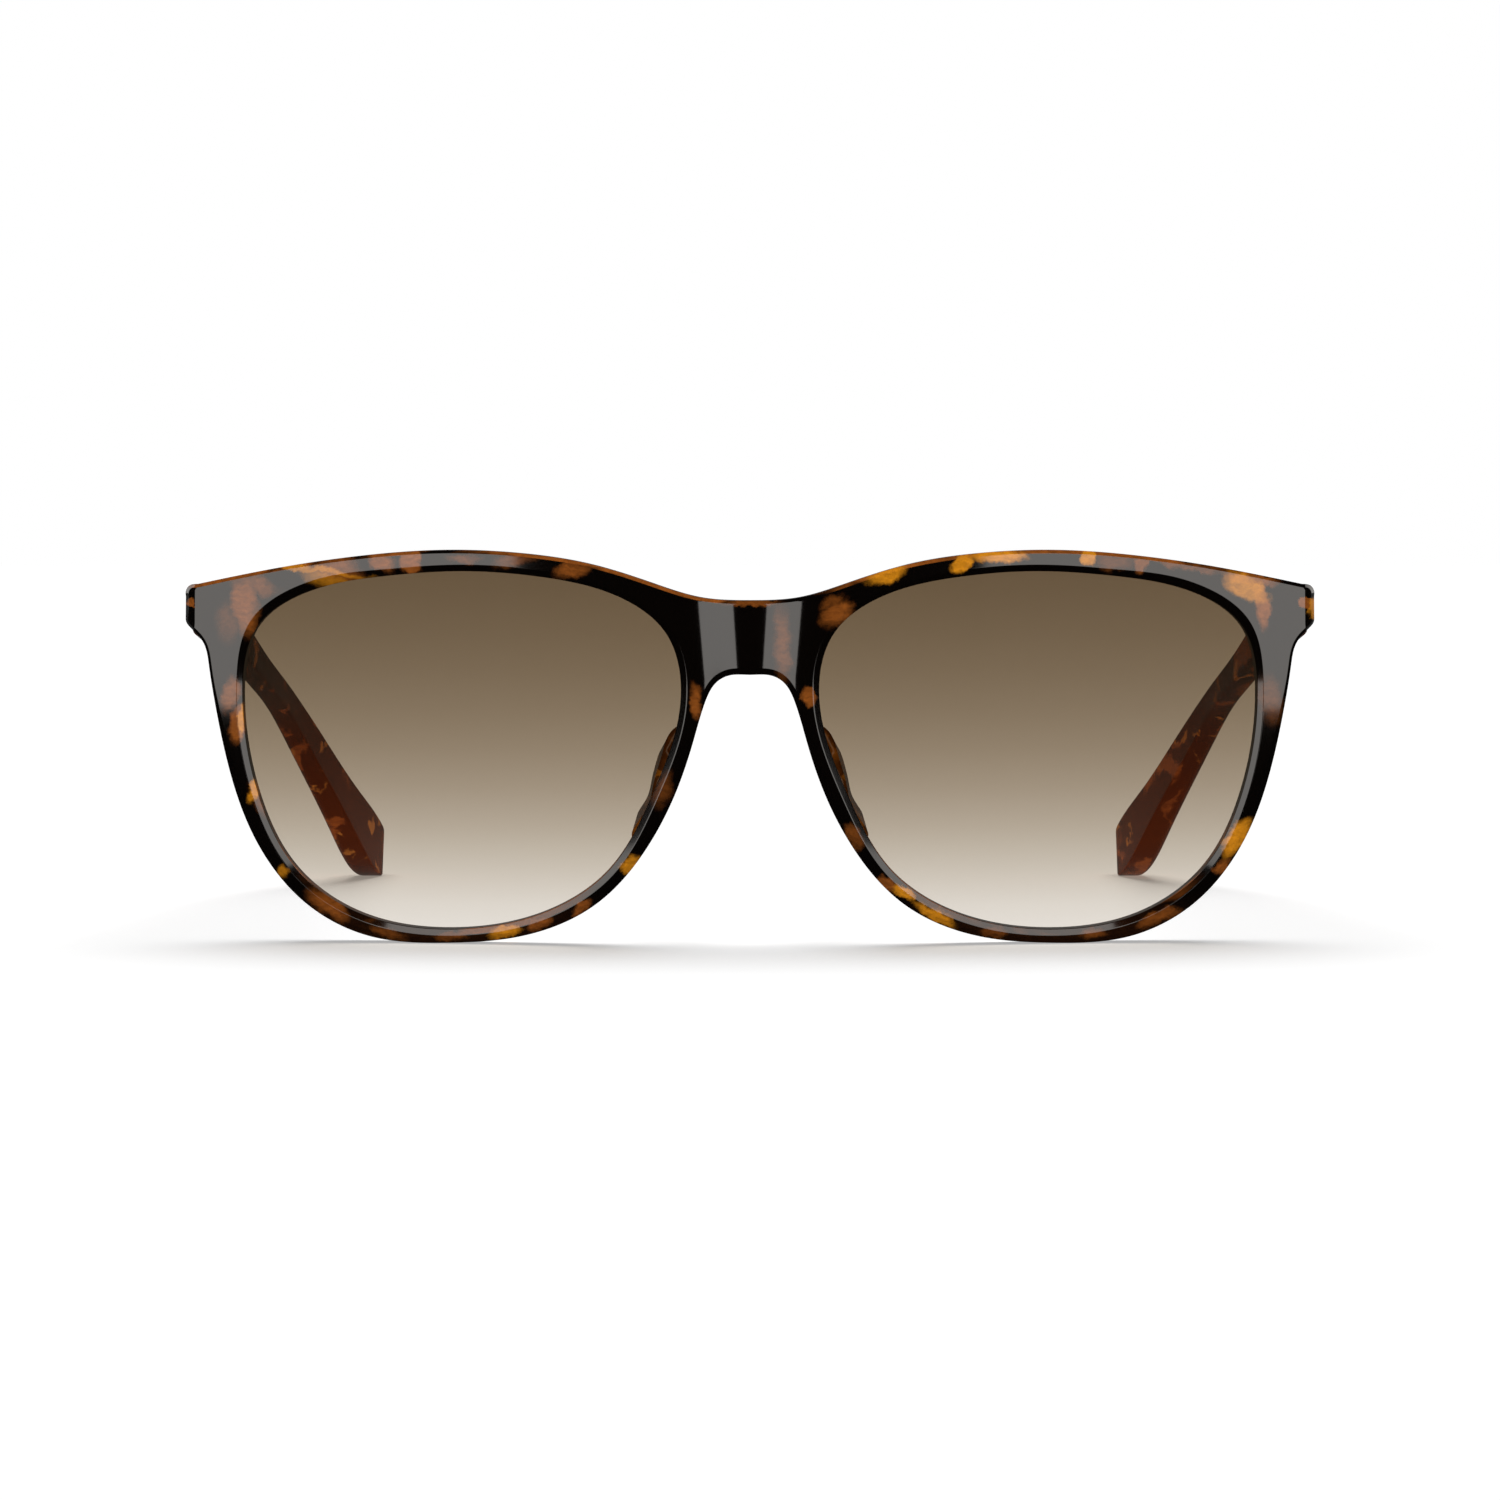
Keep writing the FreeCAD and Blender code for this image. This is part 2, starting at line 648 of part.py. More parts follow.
def make_pad_blank():
    body = new_body("pad_blank")
    root = new_sketch(body, "pad_root", "XZ_Plane", Placement(Vector(0, 0, -size("rim_depth")), Rotation()))
    root.addGeometry(in_pieces(curve_through(PAD_ROOT, closed=True)), False)
    rear_y = size("rim_depth") + size("crest_height") + size("pad_reach")
    rear = new_sketch(body, "pad_rear", "XZ_Plane", Placement(Vector(0, 0, -rear_y), Rotation()))
    rear.addGeometry(in_pieces(curve_through(PAD_REAR, closed=True)), False)
    loft(body, "pad_loft", [root, rear])
    return body


def mirror_image(source, label):
    obj = doc.addObject("Part::Mirroring", label)
    obj.Source = source
    obj.Normal = Vector(1, 0, 0)
    obj.Base = Vector(0, 0, 0)
    return obj


left = {}
left["lens"] = make_lens()
left["hinge_pivot_screw"] = make_pivot_screw()
left["hinge_washers"] = make_washers()
slot_reach = size("leaf_screw_head") + 0.1
front_leaf_rear = size("front_leaf_y") + size("leaf_thickness")
front_seats = [(size("front_screw_x"), front_leaf_rear, size("front_screw_low")),
               (size("front_screw_x"), front_leaf_rear, size("front_screw_high"))]
left["front_leaf_screws"] = make_leaf_screws("front_leaf_screws_left", front_seats,
                                             Rotation(Vector(1, 0, 0), 90),
                                             (slot_reach, 0.2, size("slot_width") / 2))
temple_seats = [(size("temple_inside"), size(name), temple_height_at(size(name)))
                for name in ("temple_screw_near", "temple_screw_far")]
left["temple_leaf_screws"] = make_leaf_screws("temple_leaf_screws_left", temple_seats,
                                              Rotation(Vector(0, 1, 0), 90),
                                              (0.2, size("slot_width") / 2, slot_reach))
left["front_hinge_leaf"] = make_front_leaf(left["front_leaf_screws"])
left["temple_hinge_leaf"] = make_temple_leaf(left["temple_leaf_screws"])
left["temple_core"] = make_core()
temple_blank = make_temple_blank()
left["temple"] = cut("temple_left", temple_blank,
                     fused("temple_hollows", [left["temple_hinge_leaf"], left["temple_leaf_screws"],
                                              left["temple_core"]]))
front_block = make_front()
pad_blank = make_pad_blank()
pad_behind_lens = cut("pad_behind_lens", pad_blank, left["lens"])
left["nose_pad"] = cut("nose_pad_left", pad_behind_lens, front_block)
right = {}
for name, obj in left.items():
    right[name] = mirror_image(obj, name + "_right")
front_tools = []
for side in (left, right):
    front_tools += [side["lens"], side["front_hinge_leaf"], side["front_leaf_screws"]]
front = cut("front_frame", front_block, fused("front_hollows", front_tools))
doc.recompute()

nodes = [("front_frame", front)]
for name in left:
    nodes.append((name + "_left", left[name]))
    nodes.append((name + "_right", right[name]))

for obj in doc.Objects:
    if "Invalid" in obj.State or "Error" in obj.State:
        raise RuntimeError("%s: %s" % (obj.Name, obj.State))
os.makedirs("parts", exist_ok=True)
for label, obj in nodes:
    obj.Label = label
    shape = obj.Shape
    if shape.isNull() or not shape.isValid():
        raise RuntimeError(label + " has no valid shape")
    shape.exportStep("parts/%s.step" % label)
    print(label, len(shape.Solids), "solids,", round(shape.Volume, 1), "mm3")
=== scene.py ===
import math

import bpy
import numpy as np
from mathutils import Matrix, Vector
from mathutils.geometry import delaunay_2d_cdt


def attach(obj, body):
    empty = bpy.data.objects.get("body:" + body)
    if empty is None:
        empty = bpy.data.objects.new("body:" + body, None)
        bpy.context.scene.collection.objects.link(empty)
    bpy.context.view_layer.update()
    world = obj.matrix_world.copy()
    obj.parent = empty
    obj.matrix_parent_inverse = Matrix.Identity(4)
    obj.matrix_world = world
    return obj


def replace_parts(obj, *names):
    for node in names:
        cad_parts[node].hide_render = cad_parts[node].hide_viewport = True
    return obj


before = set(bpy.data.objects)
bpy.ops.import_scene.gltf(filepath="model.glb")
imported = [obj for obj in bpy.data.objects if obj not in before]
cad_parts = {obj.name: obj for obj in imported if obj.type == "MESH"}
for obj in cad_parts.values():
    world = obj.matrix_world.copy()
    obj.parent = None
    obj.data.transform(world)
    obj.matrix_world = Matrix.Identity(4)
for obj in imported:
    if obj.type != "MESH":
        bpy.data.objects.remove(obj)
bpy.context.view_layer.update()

# Millimetres here, with y = 0 at the foremost point of the bridge, +X to the wearer's left and +Z up.
FRONT_Y = -72.22
FACE_RADIUS = 190.0
REAR_RADIUS = 186.0
CENTRE_Y = 191.3
CENTRE_Z = 24.5
CREST_HALF = 8.0
CREST_HEIGHT = 1.3
BEVEL_START = 71.7
BEVEL_SLOPE = 2.4 / 2.3
LENS_FRONT_RADIUS = 188.8
LENS_REAR_RADIUS = 186.8
TOP_LIMIT = 50.35

# Seat of a front hinge leaf: sides, depth, and x + height along its cut lower corner.
SEAT_X = (63.25, 68.3)
SEAT_Z = (39.1, 45.4)
SEAT_Y = 15.7
SEAT_CORNER = 104.1

# Endpiece block: where the open temple butts against it, and its inner side.
LUG_REAR = 18.3
LUG_BOTTOM = 38.6
LUG_INNER = 68.27

# Nose pads: where they leave the rim and end, and how round the end is.
PAD_START_Y = 4.0
PAD_END_Y = 12.3
PAD_ROUND = 0.55
PAD_POINTS = 110

# Temples: corner radii, rounding of the tip, and the space left for the hinge.
TEMPLE_OUTER_ROUND = 1.2
TEMPLE_INNER_ROUND = 0.35
TIP_LENGTH = 3.4
TIP_ROUND = 1.8
TEMPLE_REAR_LIMIT = 144.15
HINGE_SIDE = 68.37
HINGE_START, HINGE_END = 28.4, 31.0

BROW = [(6.04, 44.3), (12.1, 46.05), (20.2, 48.54), (29.3, 49.95), (38.4, 50.35),
        (50.7, 49.5), (61.1, 47.95), (71.6, 45.85)]
BROW_MIDDLE = (0.0, 43.95)
SIDE_CORNER = (72.554, 45.66)
SIDE_TOP = (73.0, 44.35)
SIDE_BOTTOM = (73.0, 41.3)
RIM = [(72.35, 40.3), (71.2, 39.25), (70.4, 38.1), (69.8, 35.6), (68.9, 30.2), (67.2, 22.4),
       (64.1, 13.8), (56.9, 4.7), (48.4, 0.66), (38.9, 0.04), (29.8, 0.89), (19.7, 5.15),
       (12.9, 12.8), (9.4, 19.6), (7.1, 26.4), (5.75, 30.9), (4.1, 33.7), (2.6, 34.45)]
BRIDGE_MIDDLE = (0.0, 34.53)
OPENING = [(8.8, 31.9), (10.65, 39.7), (16.6, 44.35), (26.2, 46.85), (36.5, 47.63),
           (47.1, 46.95), (57.35, 44.75), (63.25, 40.65), (65.3, 31.6), (63.4, 19.35),
           (58.6, 9.75), (49.4, 3.47), (38.6, 1.85), (27.2, 3.75), (18.1, 9.5), (12.45, 19.25)]
# Distance back, half spacing, height, thickness, tallness, slope in degrees.
TEMPLE = [(18.4, 70.4, 42.2, 4.2, 6.5, 0.0), (29.0, 70.1, 40.5, 4.1, 5.9, 8.5),
          (50.0, 69.2, 36.6, 3.7, 4.4, 10.0), (68.0, 68.4, 32.9, 3.4, 3.9, 10.5),
          (84.0, 67.6, 29.6, 3.3, 3.9, 13.0), (97.0, 66.6, 25.9, 3.4, 4.5, 22.0),
          (110.0, 64.5, 19.9, 3.7, 5.7, 30.0), (126.0, 60.8, 10.4, 4.1, 8.0, 33.0),
          (138.5, 58.1, 4.0, 4.2, 8.9, 33.0), (142.2, 57.4, 2.7, 4.0, 7.2, 33.0)]
PAD_ROOT = [(7.9, 28.4), (9.7, 27.6), (11.2, 24.4), (12.3, 20.6), (13.4, 17.0), (14.9, 13.6),
            (13.6, 13.4), (11.6, 16.0), (9.9, 19.8), (8.3, 24.2)]
PAD_REAR = [(9.4, 26.4), (10.9, 25.4), (12.1, 23.0), (12.7, 20.6), (13.5, 18.0), (14.4, 15.6),
            (13.7, 15.4), (12.4, 17.2), (11.3, 20.0), (10.2, 23.0)]
NO_POINTS = np.zeros((0, 2))

# ---- curves -----------------------------------------------------------------------------------------

def spline(points, step, closed=False, ends=None):
    """Points along a smooth curve through points of any dimension, about step apart."""
    p = np.array(points, float)
    if closed:
        p = np.vstack([p, p[:1]])
    h = np.linalg.norm(np.diff(p, axis=0), axis=1)
    n = len(p)
    a = np.zeros((n, n))
    b = np.zeros_like(p)
    for i in range(1, n - 1):
        a[i, i - 1], a[i, i], a[i, i + 1] = h[i], 2 * (h[i - 1] + h[i]), h[i - 1]
        b[i] = 3 * (h[i] * (p[i] - p[i - 1]) / h[i - 1] + h[i - 1] * (p[i + 1] - p[i]) / h[i])
    if closed:
        a[0, 0], a[0, -1] = 1, -1
        a[-1, -2], a[-1, -1], a[-1, 1] = h[0], 2 * (h[0] + h[-1]), h[-1]
        b[-1] = 3 * (h[0] * (p[-1] - p[-2]) / h[-1] + h[-1] * (p[1] - p[0]) / h[0])
    elif ends is not None:
        a[0, 0], a[-1, -1] = 1, 1
        b[0], b[-1] = ends
    else:
        a[0, 0], a[0, 1] = 2, 1
        b[0] = 3 * (p[1] - p[0]) / h[0]
        a[-1, -1], a[-1, -2] = 2, 1
        b[-1] = 3 * (p[-1] - p[-2]) / h[-1]
    m = np.linalg.solve(a, b)
    out = []
    for i in range(n - 1):
        count = max(2, int(math.ceil(h[i] / step)))
        t = (np.arange(count) / count)[:, None]
        out.append((2 * t**3 - 3 * t**2 + 1) * p[i] + (t**3 - 2 * t**2 + t) * h[i] * m[i]
                   + (3 * t**2 - 2 * t**3) * p[i + 1] + (t**3 - t**2) * h[i] * m[i + 1])
    if not closed:
        out.append(p[-1:])
    return np.vstack(out)


def arc(a, b, c, count):
    """Points on the circle through a, b and c, from a to c."""
    (ax, ay), (bx, by), (cx, cy) = a, b, c
    d = 2 * (ax * (by - cy) + bx * (cy - ay) + cx * (ay - by))
    ux = ((ax**2 + ay**2) * (by - cy) + (bx**2 + by**2) * (cy - ay) + (cx**2 + cy**2) * (ay - by)) / d
    uy = ((ax**2 + ay**2) * (cx - bx) + (bx**2 + by**2) * (ax - cx) + (cx**2 + cy**2) * (bx - ax)) / d
    start = math.atan2(ay - uy, ax - ux)
    end = math.atan2(cy - uy, cx - ux)
    radius = math.hypot(ax - ux, ay - uy)
    return np.array([(ux + radius * math.cos(start + (end - start) * k / count),
                      uy + radius * math.sin(start + (end - start) * k / count)) for k in range(count + 1)])


def even(points, step):
    """A closed outline with its points evenly about step apart."""
    p = np.vstack([points, points[:1]])
    s = np.concatenate([[0], np.cumsum(np.linalg.norm(np.diff(p, axis=0), axis=1))])
    count = int(round(s[-1] / step))
    t = np.linspace(0, s[-1], count, endpoint=False)
    return np.column_stack([np.interp(t, s, p[:, k]) for k in range(2)])


def outline_normals(p):
    """Outward normals of a closed outline that runs clockwise."""
    t = np.roll(p, -1, 0) - np.roll(p, 1, 0)
    t /= np.linalg.norm(t, axis=1)[:, None]
    return np.column_stack([-t[:, 1], t[:, 0]])


def smooth_step(x, low, high):
    """0 below low, 1 above high, smooth between."""
    t = np.clip((np.asarray(x, float) - low) / (high - low), 0, 1)
    return t * t * (3 - 2 * t)


def inside(points, polygon):
    """True for each point inside a closed polygon."""
    x, z = points[:, 0][:, None], points[:, 1][:, None]
    a, b = polygon, np.roll(polygon, -1, 0)
    crosses = (a[:, 1] > z) != (b[:, 1] > z)
    with np.errstate(divide="ignore", invalid="ignore"):
        at = (b[:, 0] - a[:, 0]) * (z - a[:, 1]) / (b[:, 1] - a[:, 1]) + a[:, 0]
    return (np.sum(crosses & (x < at), axis=1) % 2) == 1


def distance(points, polygon):
    """Distance from each point to the nearest corner of a dense polygon."""
    out = np.empty(len(points))
    for i in range(0, len(points), 500):
        d = points[i:i + 500, None, :] - polygon[None, :, :]
        out[i:i + 500] = np.sqrt((d**2).sum(2).min(1))
    return out


def front_outline():
    """Closed outline of the front, clockwise."""
    brow = spline([(-x, z) for x, z in reversed(BROW)] + [BROW_MIDDLE] + BROW, 0.3)
    brow = brow[brow[:, 0] >= -1e-9]
    corner = arc(BROW[-1], SIDE_CORNER, SIDE_TOP, 14)
    down = np.array([0.0, -1.0])
    lower = [SIDE_BOTTOM] + RIM + [BRIDGE_MIDDLE] + [(-x, z) for x, z in reversed(RIM)] \
        + [(-SIDE_BOTTOM[0], SIDE_BOTTOM[1])]
    rim = spline(lower, 0.3, ends=(down, -down))
    rim = rim[rim[:, 0] >= -1e-9]
    half = np.vstack([brow[:-1], corner, rim])
    half[:, 1] = np.minimum(half[:, 1], TOP_LIMIT)
    other = half[1:-1][::-1] * [-1, 1]
    return even(np.vstack([half, other]), 0.3)


# ---- surfaces of the front ---------------------------------------------------------------------------

def face_y(x, z):
    """Front face: two spheres joined by a raised bridge, with a bevel down each side."""
    ax = np.abs(x)
    crest = CREST_HALF * (1 + 0.09 * np.clip((z - 39) / 5, -1, 1))
    bulge = ((crest / 2) ** 2 + (CREST_HEIGHT / 2) ** 2) / CREST_HEIGHT
    inner = bulge - np.sqrt(bulge**2 - np.minimum(ax, crest / 2) ** 2)
    outer = CREST_HEIGHT - (bulge - np.sqrt(bulge**2 - np.clip(crest - ax, 0, crest / 2) ** 2))
    flat = np.minimum(ax, BEVEL_START)
    ball = FACE_RADIUS - np.sqrt(FACE_RADIUS**2 - np.maximum(flat - CREST_HALF, 0) ** 2)
    level = np.where(ax < crest / 2, inner, outer) + ball
    level = level + np.maximum(ax - BEVEL_START, 0) * BEVEL_SLOPE
    return CENTRE_Y - np.sqrt((CENTRE_Y - level) ** 2 - (z - CENTRE_Z) ** 2)


def ball_y(radius):
    """Height function of a face that is a sphere beside the bridge."""
    def height(x, z):
        reach = np.maximum(np.abs(x) - CREST_HALF, 0)
        return CENTRE_Y - np.sqrt(radius**2 - reach**2 - (z - CENTRE_Z) ** 2)
    return height


def rear_y(x, z):
    """Rear face, with the seats of the front hinge leaves cut in."""
    y = ball_y(REAR_RADIUS)(x, z)
    ax = np.abs(x)
    in_seat = (ax > SEAT_X[0]) & (ax < SEAT_X[1]) & (z > SEAT_Z[0]) & (z < SEAT_Z[1]) & (ax + z > SEAT_CORNER)
    return np.where(in_seat, np.minimum(y, SEAT_Y), y)


def surface_normals(height, x, z, side):
    """Unit normals of y = height(x, z); side -1 faces forwards and 1 backwards."""
    e = 0.06
    gx = (height(x + e, z) - height(x - e, z)) / (2 * e)
    gz = (height(x, z + e) - height(x, z - e)) / (2 * e)
    n = np.column_stack([-side * gx, np.full_like(gx, side), -side * gz])
    return n / np.linalg.norm(n, axis=1)[:, None]


class Shell:
    """Vertices in millimetres with their own normals, and faces."""

    def __init__(self):
        self.verts, self.normals, self.faces, self.count = [], [], [], 0

    def add(self, verts, normals):
        first = self.count
        self.verts.append(np.asarray(verts, float))
        self.normals.append(np.asarray(normals, float))
        self.count += len(verts)
        return np.arange(first, self.count)

    def bridge(self, a, b):
        """Quads between two closed rings of the same length."""
        a2, b2 = np.roll(a, -1), np.roll(b, -1)
        self.faces += [tuple(map(int, f)) for f in zip(a, a2, b2, b)]


def place(name, shell, material):
    """Make the shell an object, in metres and in the shared frame."""
    verts = np.vstack(shell.verts) + [0, FRONT_Y, 0]
    mesh = bpy.data.meshes.new(name)
    mesh.from_pydata((verts / 1000).tolist(), [], shell.faces)
    mesh.validate()
    for poly in mesh.polygons:
        poly.use_smooth = True
    normals = np.vstack(shell.normals)
    normals /= np.maximum(np.linalg.norm(normals, axis=1), 1e-9)[:, None]
    mesh.normals_split_custom_set_from_vertices(normals.tolist())
    mesh.materials.append(material)
    obj = bpy.data.objects.new(name, mesh)
    bpy.context.scene.collection.objects.link(obj)
    return obj


def fill(shell, rings, outer, holes, height, side, extra, spacing):
    """Fill between an outer ring and holes with a mesh that lies on y = height(x, z)."""
    low, high = outer.min(0), outer.max(0)
    rows = []
    row = 0
    z = low[1]
    while z < high[1]:
        xs = np.arange(0.25 * spacing + (row % 2) * spacing / 2, max(abs(low[0]), abs(high[0])), spacing)
        rows.append(np.column_stack([xs, np.full_like(xs, z)]))
        rows.append(np.column_stack([-xs, np.full_like(xs, z)]))
        row += 1
        z += spacing * 0.866
    grid = np.vstack(rows)
    grid = grid[(grid[:, 0] > low[0]) & (grid[:, 0] < high[0])]
    if len(extra):
        near = distance(grid, extra) > spacing * 0.45
        grid = np.vstack([extra, grid[near]])
    keep = inside(grid, outer)
    for hole in holes:
        keep &= ~inside(grid, hole)
    grid = grid[keep]
    for loop in [outer] + holes:
        grid = grid[distance(grid, loop) > 0.28]
    points = np.vstack([outer] + holes + [grid])
    ids = np.concatenate(rings) if rings else np.zeros(0, int)
    x, zz = grid[:, 0], grid[:, 1]
    new = shell.add(np.column_stack([x, height(x, zz), zz]), surface_normals(height, x, zz, side))
    ids = np.concatenate([ids, new])
    edges = []
    first = 0
    for loop in [outer] + holes:
        n = len(loop)
        edges += [(first + i, first + (i + 1) % n) for i in range(n)]
        first += n
    verts, _, tris, origin, _, _ = delaunay_2d_cdt([Vector(p) for p in points.tolist()], edges, [], 0, 1e-6)
    tris = np.array([t for t in tris if len(t) == 3])
    back = np.array([o[0] if o else -1 for o in origin])
    flat = np.array([v[:] for v in verts])
    middle = flat[tris].mean(1)
    keep = inside(middle, outer)
    for hole in holes:
        keep &= ~inside(middle, hole)
    for t in tris[keep]:
        i, j, k = (int(ids[back[q]]) for q in t)
        shell.faces.append((i, j, k) if side < 0 else (i, k, j))


def edge_rings(shell, outline, out, width, slope, face, rear, rear_round):
    """Rings from the front face, over the bevel, along the wall and round to the rear face.

    out is +1 for the outside of the material and -1 for an opening's edge, where the normals point
    into the opening. Returns the first and last ring with their outlines.
    """
    normal = outline_normals(outline)
    inward = -normal * out
    rings = []

    def column(value):
        return np.broadcast_to(value, (len(outline),))[:, None]

    def ring(offset, y_of, tilt_front, tilt_wall, tilt_rear):
        p = outline + inward * column(offset)
        x, z = p[:, 0], p[:, 1]
        nf = surface_normals(face, x, z, -1)
        nr = surface_normals(rear, x, z, 1)
        nw = np.column_stack([-inward[:, 0], np.zeros(len(p)), -inward[:, 1]])
        n = nf * column(tilt_front) + nw * column(tilt_wall) + nr * column(tilt_rear)
        ids = shell.add(np.column_stack([x, y_of(x, z), z]), n)
        rings.append((ids, p))

    depth = width * slope
    angle = np.arctan(slope)
    cf, cw = np.cos(angle), np.sin(angle)
    soft = np.minimum(0.1, width * 0.25)
    ring(width + soft, face, 1, 0, 0)
    ring(width + soft * 0.2, lambda x, z: face(x, z) + soft * 0.06, (1 + cf) / 2, cw / 2, 0)
    ring(width - soft * 0.7, lambda x, z: face(x, z) + soft * 0.7 * slope, cf, cw, 0)
    ring(soft * 0.8, lambda x, z: face(x, z) + depth - soft * 0.8 * slope, cf, cw, 0)
    ring(soft * 0.15, lambda x, z: face(x, z) + depth + soft * 0.05, cf / 2, (1 + cw) / 2, 0)
    ring(0.0, lambda x, z: face(x, z) + depth + soft, 0, 1, 0)
    steps = 5
    for k in range(steps + 1):
        a = math.pi / 2 * k / steps
        ring(rear_round * (1 - math.cos(a)), lambda x, z: rear(x, z) - rear_round * (1 - math.sin(a)),
             0, math.cos(a), math.sin(a))
    for (a, _), (b, _) in zip(rings, rings[1:]):
        shell.bridge(*((a, b) if out > 0 else (b, a)))
    return rings[0], rings[-1]


def side_lines():
    """Rows of points along both creases of the side bevels."""
    z = np.arange(34.0, 49.0, 0.22)
    rows = [np.column_stack([np.full_like(z, s * x), z]) for s in (1, -1)
            for x in (BEVEL_START - 0.1, BEVEL_START, BEVEL_START + 0.1)]
    return np.vstack(rows)


def seat_lines():
    """Rows of points round the seats of the front hinge leaves."""
    rows = []
    for inset in (-0.03, 0.03):
        x0, x1 = SEAT_X[0] + inset, SEAT_X[1] - inset
        z0, z1 = SEAT_Z[0] + inset, SEAT_Z[1] - inset
        low = SEAT_CORNER + 1.4 * inset
        corners = [(x0, low - x0), (low - z0, z0), (x1, z0), (x1, z1), (x0, z1)]
        for (ax, az), (bx, bz) in zip(corners, corners[1:] + corners[:1]):
            rows += [(ax + (bx - ax) * t, az + (bz - az) * t)
                     for t in np.linspace(0, 1, 16, endpoint=False)]
    p = np.array(rows)
    return np.vstack([p, p * [-1, 1]])


def outer_bevel(p):
    """Width of the bevel along the outside of the front."""
    ax, z = np.abs(p[:, 0]), p[:, 1]
    top = np.full(len(p), 0.45)
    low = 0.34 + 0.5 * smooth_step(-z, -34, -18) - 0.12 * smooth_step(-z, -9, -1)
    nose = 0.62 + 0.1 * smooth_step(-ax, -6, -2)
    is_nose = smooth_step(-ax, -20, -13) * smooth_step(-z, -36, -34.9)
    is_top = smooth_step(z, 41.5, 43.0)
    return top * is_top + (1 - is_top) * (nose * is_nose + low * (1 - is_nose))


def inner_bevel(p):
    """Width of the bevel round a lens."""
    ax, z = np.abs(p[:, 0]), p[:, 1]
    upper_side = smooth_step(ax, 44, 56) * smooth_step(z, 33, 42)
    return 0.78 + 0.3 * upper_side


def make_front(material):
    shell = Shell()
    outline = front_outline()
    outer_front, outer_rear = edge_rings(shell, outline, 1, outer_bevel(outline), 0.62, face_y, rear_y, 0.45)
    fronts, rears = [], []
    for sign in (1, -1):
        hole = spline([(sign * x, z) for x, z in OPENING], 0.3, closed=True)
        if sign < 0:
            hole = hole[::-1]
        hole = even(hole, 0.3)
        first, last = edge_rings(shell, hole, -1, inner_bevel(hole), 0.6, face_y, rear_y, 0.35)
        fronts.append(first)
        rears.append(last)
    fill(shell, [outer_front[0]] + [f[0] for f in fronts], outer_front[1], [f[1] for f in fronts],
         face_y, -1, side_lines(), 0.8)
    fill(shell, [outer_rear[0]] + [r[0] for r in rears], outer_rear[1], [r[1] for r in rears],
         rear_y, 1, seat_lines(), 0.9)
    for sign in (1, -1):
        add_lug(shell, outline, sign)
    return place("front_acetate", shell, material)


def add_lug(shell, outline, sign):
    """The endpiece block behind the front, which the open temple butts against."""
    cut = 0.3
    p = outline - outline_normals(outline) * 0.02
    edge = p[(sign * p[:, 0] > 68.6) & (p[:, 1] > LUG_BOTTOM) & (p[:, 1] < 47.5)]
    top = edge[0] if sign > 0 else edge[-1]
    inner = [(sign * x, z) for x, z in ((LUG_INNER + cut, LUG_BOTTOM), (LUG_INNER, LUG_BOTTOM + cut),
                                        (LUG_INNER, 42.0), (LUG_INNER, top[1] - 0.35))]
    ring = np.vstack([edge, inner if sign > 0 else inner[::-1]])
    n = outline_normals(ring)
    rings = []
    for y, offset, a in ((15.4, 0, 0), (18.0, 0, 0), (18.09, 0.02, 20), (18.2, 0.08, 45),
                         (18.27, 0.17, 70), (LUG_REAR, cut, 90)):
        q = ring - n * offset
        c, s = math.cos(math.radians(a)), math.sin(math.radians(a))
        ids = shell.add(np.column_stack([q[:, 0], np.full(len(q), y), q[:, 1]]),
                        np.column_stack([n[:, 0] * c, np.full(len(q), s), n[:, 1] * c]))
        rings.append(ids)
    for a, b in zip(rings, rings[1:]):
        shell.bridge(a, b)
    q = ring - n * cut
    edges = [(i, (i + 1) % len(q)) for i in range(len(q))]
    verts, _, tris, origin, _, _ = delaunay_2d_cdt([Vector(v) for v in q.tolist()], edges, [], 0, 1e-6)
    for t in tris:
        mid = sum((verts[i] for i in t), Vector((0, 0))) / 3
        if inside(np.array([mid[:]]), q)[0]:
            i, j, k = (int(rings[-1][origin[v][0]]) for v in t)
            shell.faces.append((i, k, j))
    shell.faces.append(tuple(int(v) for v in rings[0]))


# ---- lenses ------------------------------------------------------------------------------------------

def make_lens(sign, material):
    shell = Shell()
    hole = spline([(sign * x, z) for x, z in OPENING], 0.45, closed=True)
    if sign < 0:
        hole = hole[::-1]
    hole = even(hole, 0.45)
    rim = hole + outline_normals(hole) * 0.7
    front, rear = ball_y(LENS_FRONT_RADIUS), ball_y(LENS_REAR_RADIUS)
    n = outline_normals(rim)
    rings = []
    # in from the V edge, share of the way from front to rear, lean of the normal
    for offset, mix, tilt in ((0.6, 0.0, -1), (0.5, 0.06, -0.7), (0.02, 0.45, -0.5), (0.02, 0.55, 0.5),
                              (0.5, 0.94, 0.7), (0.6, 1.0, 1)):
        p = rim - n * offset
        x, z = p[:, 0], p[:, 1]
        y = front(x, z) * (1 - mix) + rear(x, z) * mix
        face = surface_normals(front if tilt < 0 else rear, x, z, -1 if tilt < 0 else 1)
        wall = np.column_stack([n[:, 0], np.zeros(len(p)), n[:, 1]])
        rings.append((shell.add(np.column_stack([x, y, z]), face * abs(tilt) + wall * (1 - abs(tilt))), p))
    for (a, _), (b, _) in zip(rings, rings[1:]):
        shell.bridge(a, b)
    fill(shell, [rings[0][0]], rings[0][1], [], front, -1, NO_POINTS, 2.0)
    fill(shell, [rings[-1][0]], rings[-1][1], [], rear, 1, NO_POINTS, 2.0)
    return place("lens_glass_" + ("left" if sign > 0 else "right"), shell, material)


# ---- temples -----------------------------------------------------------------------------------------

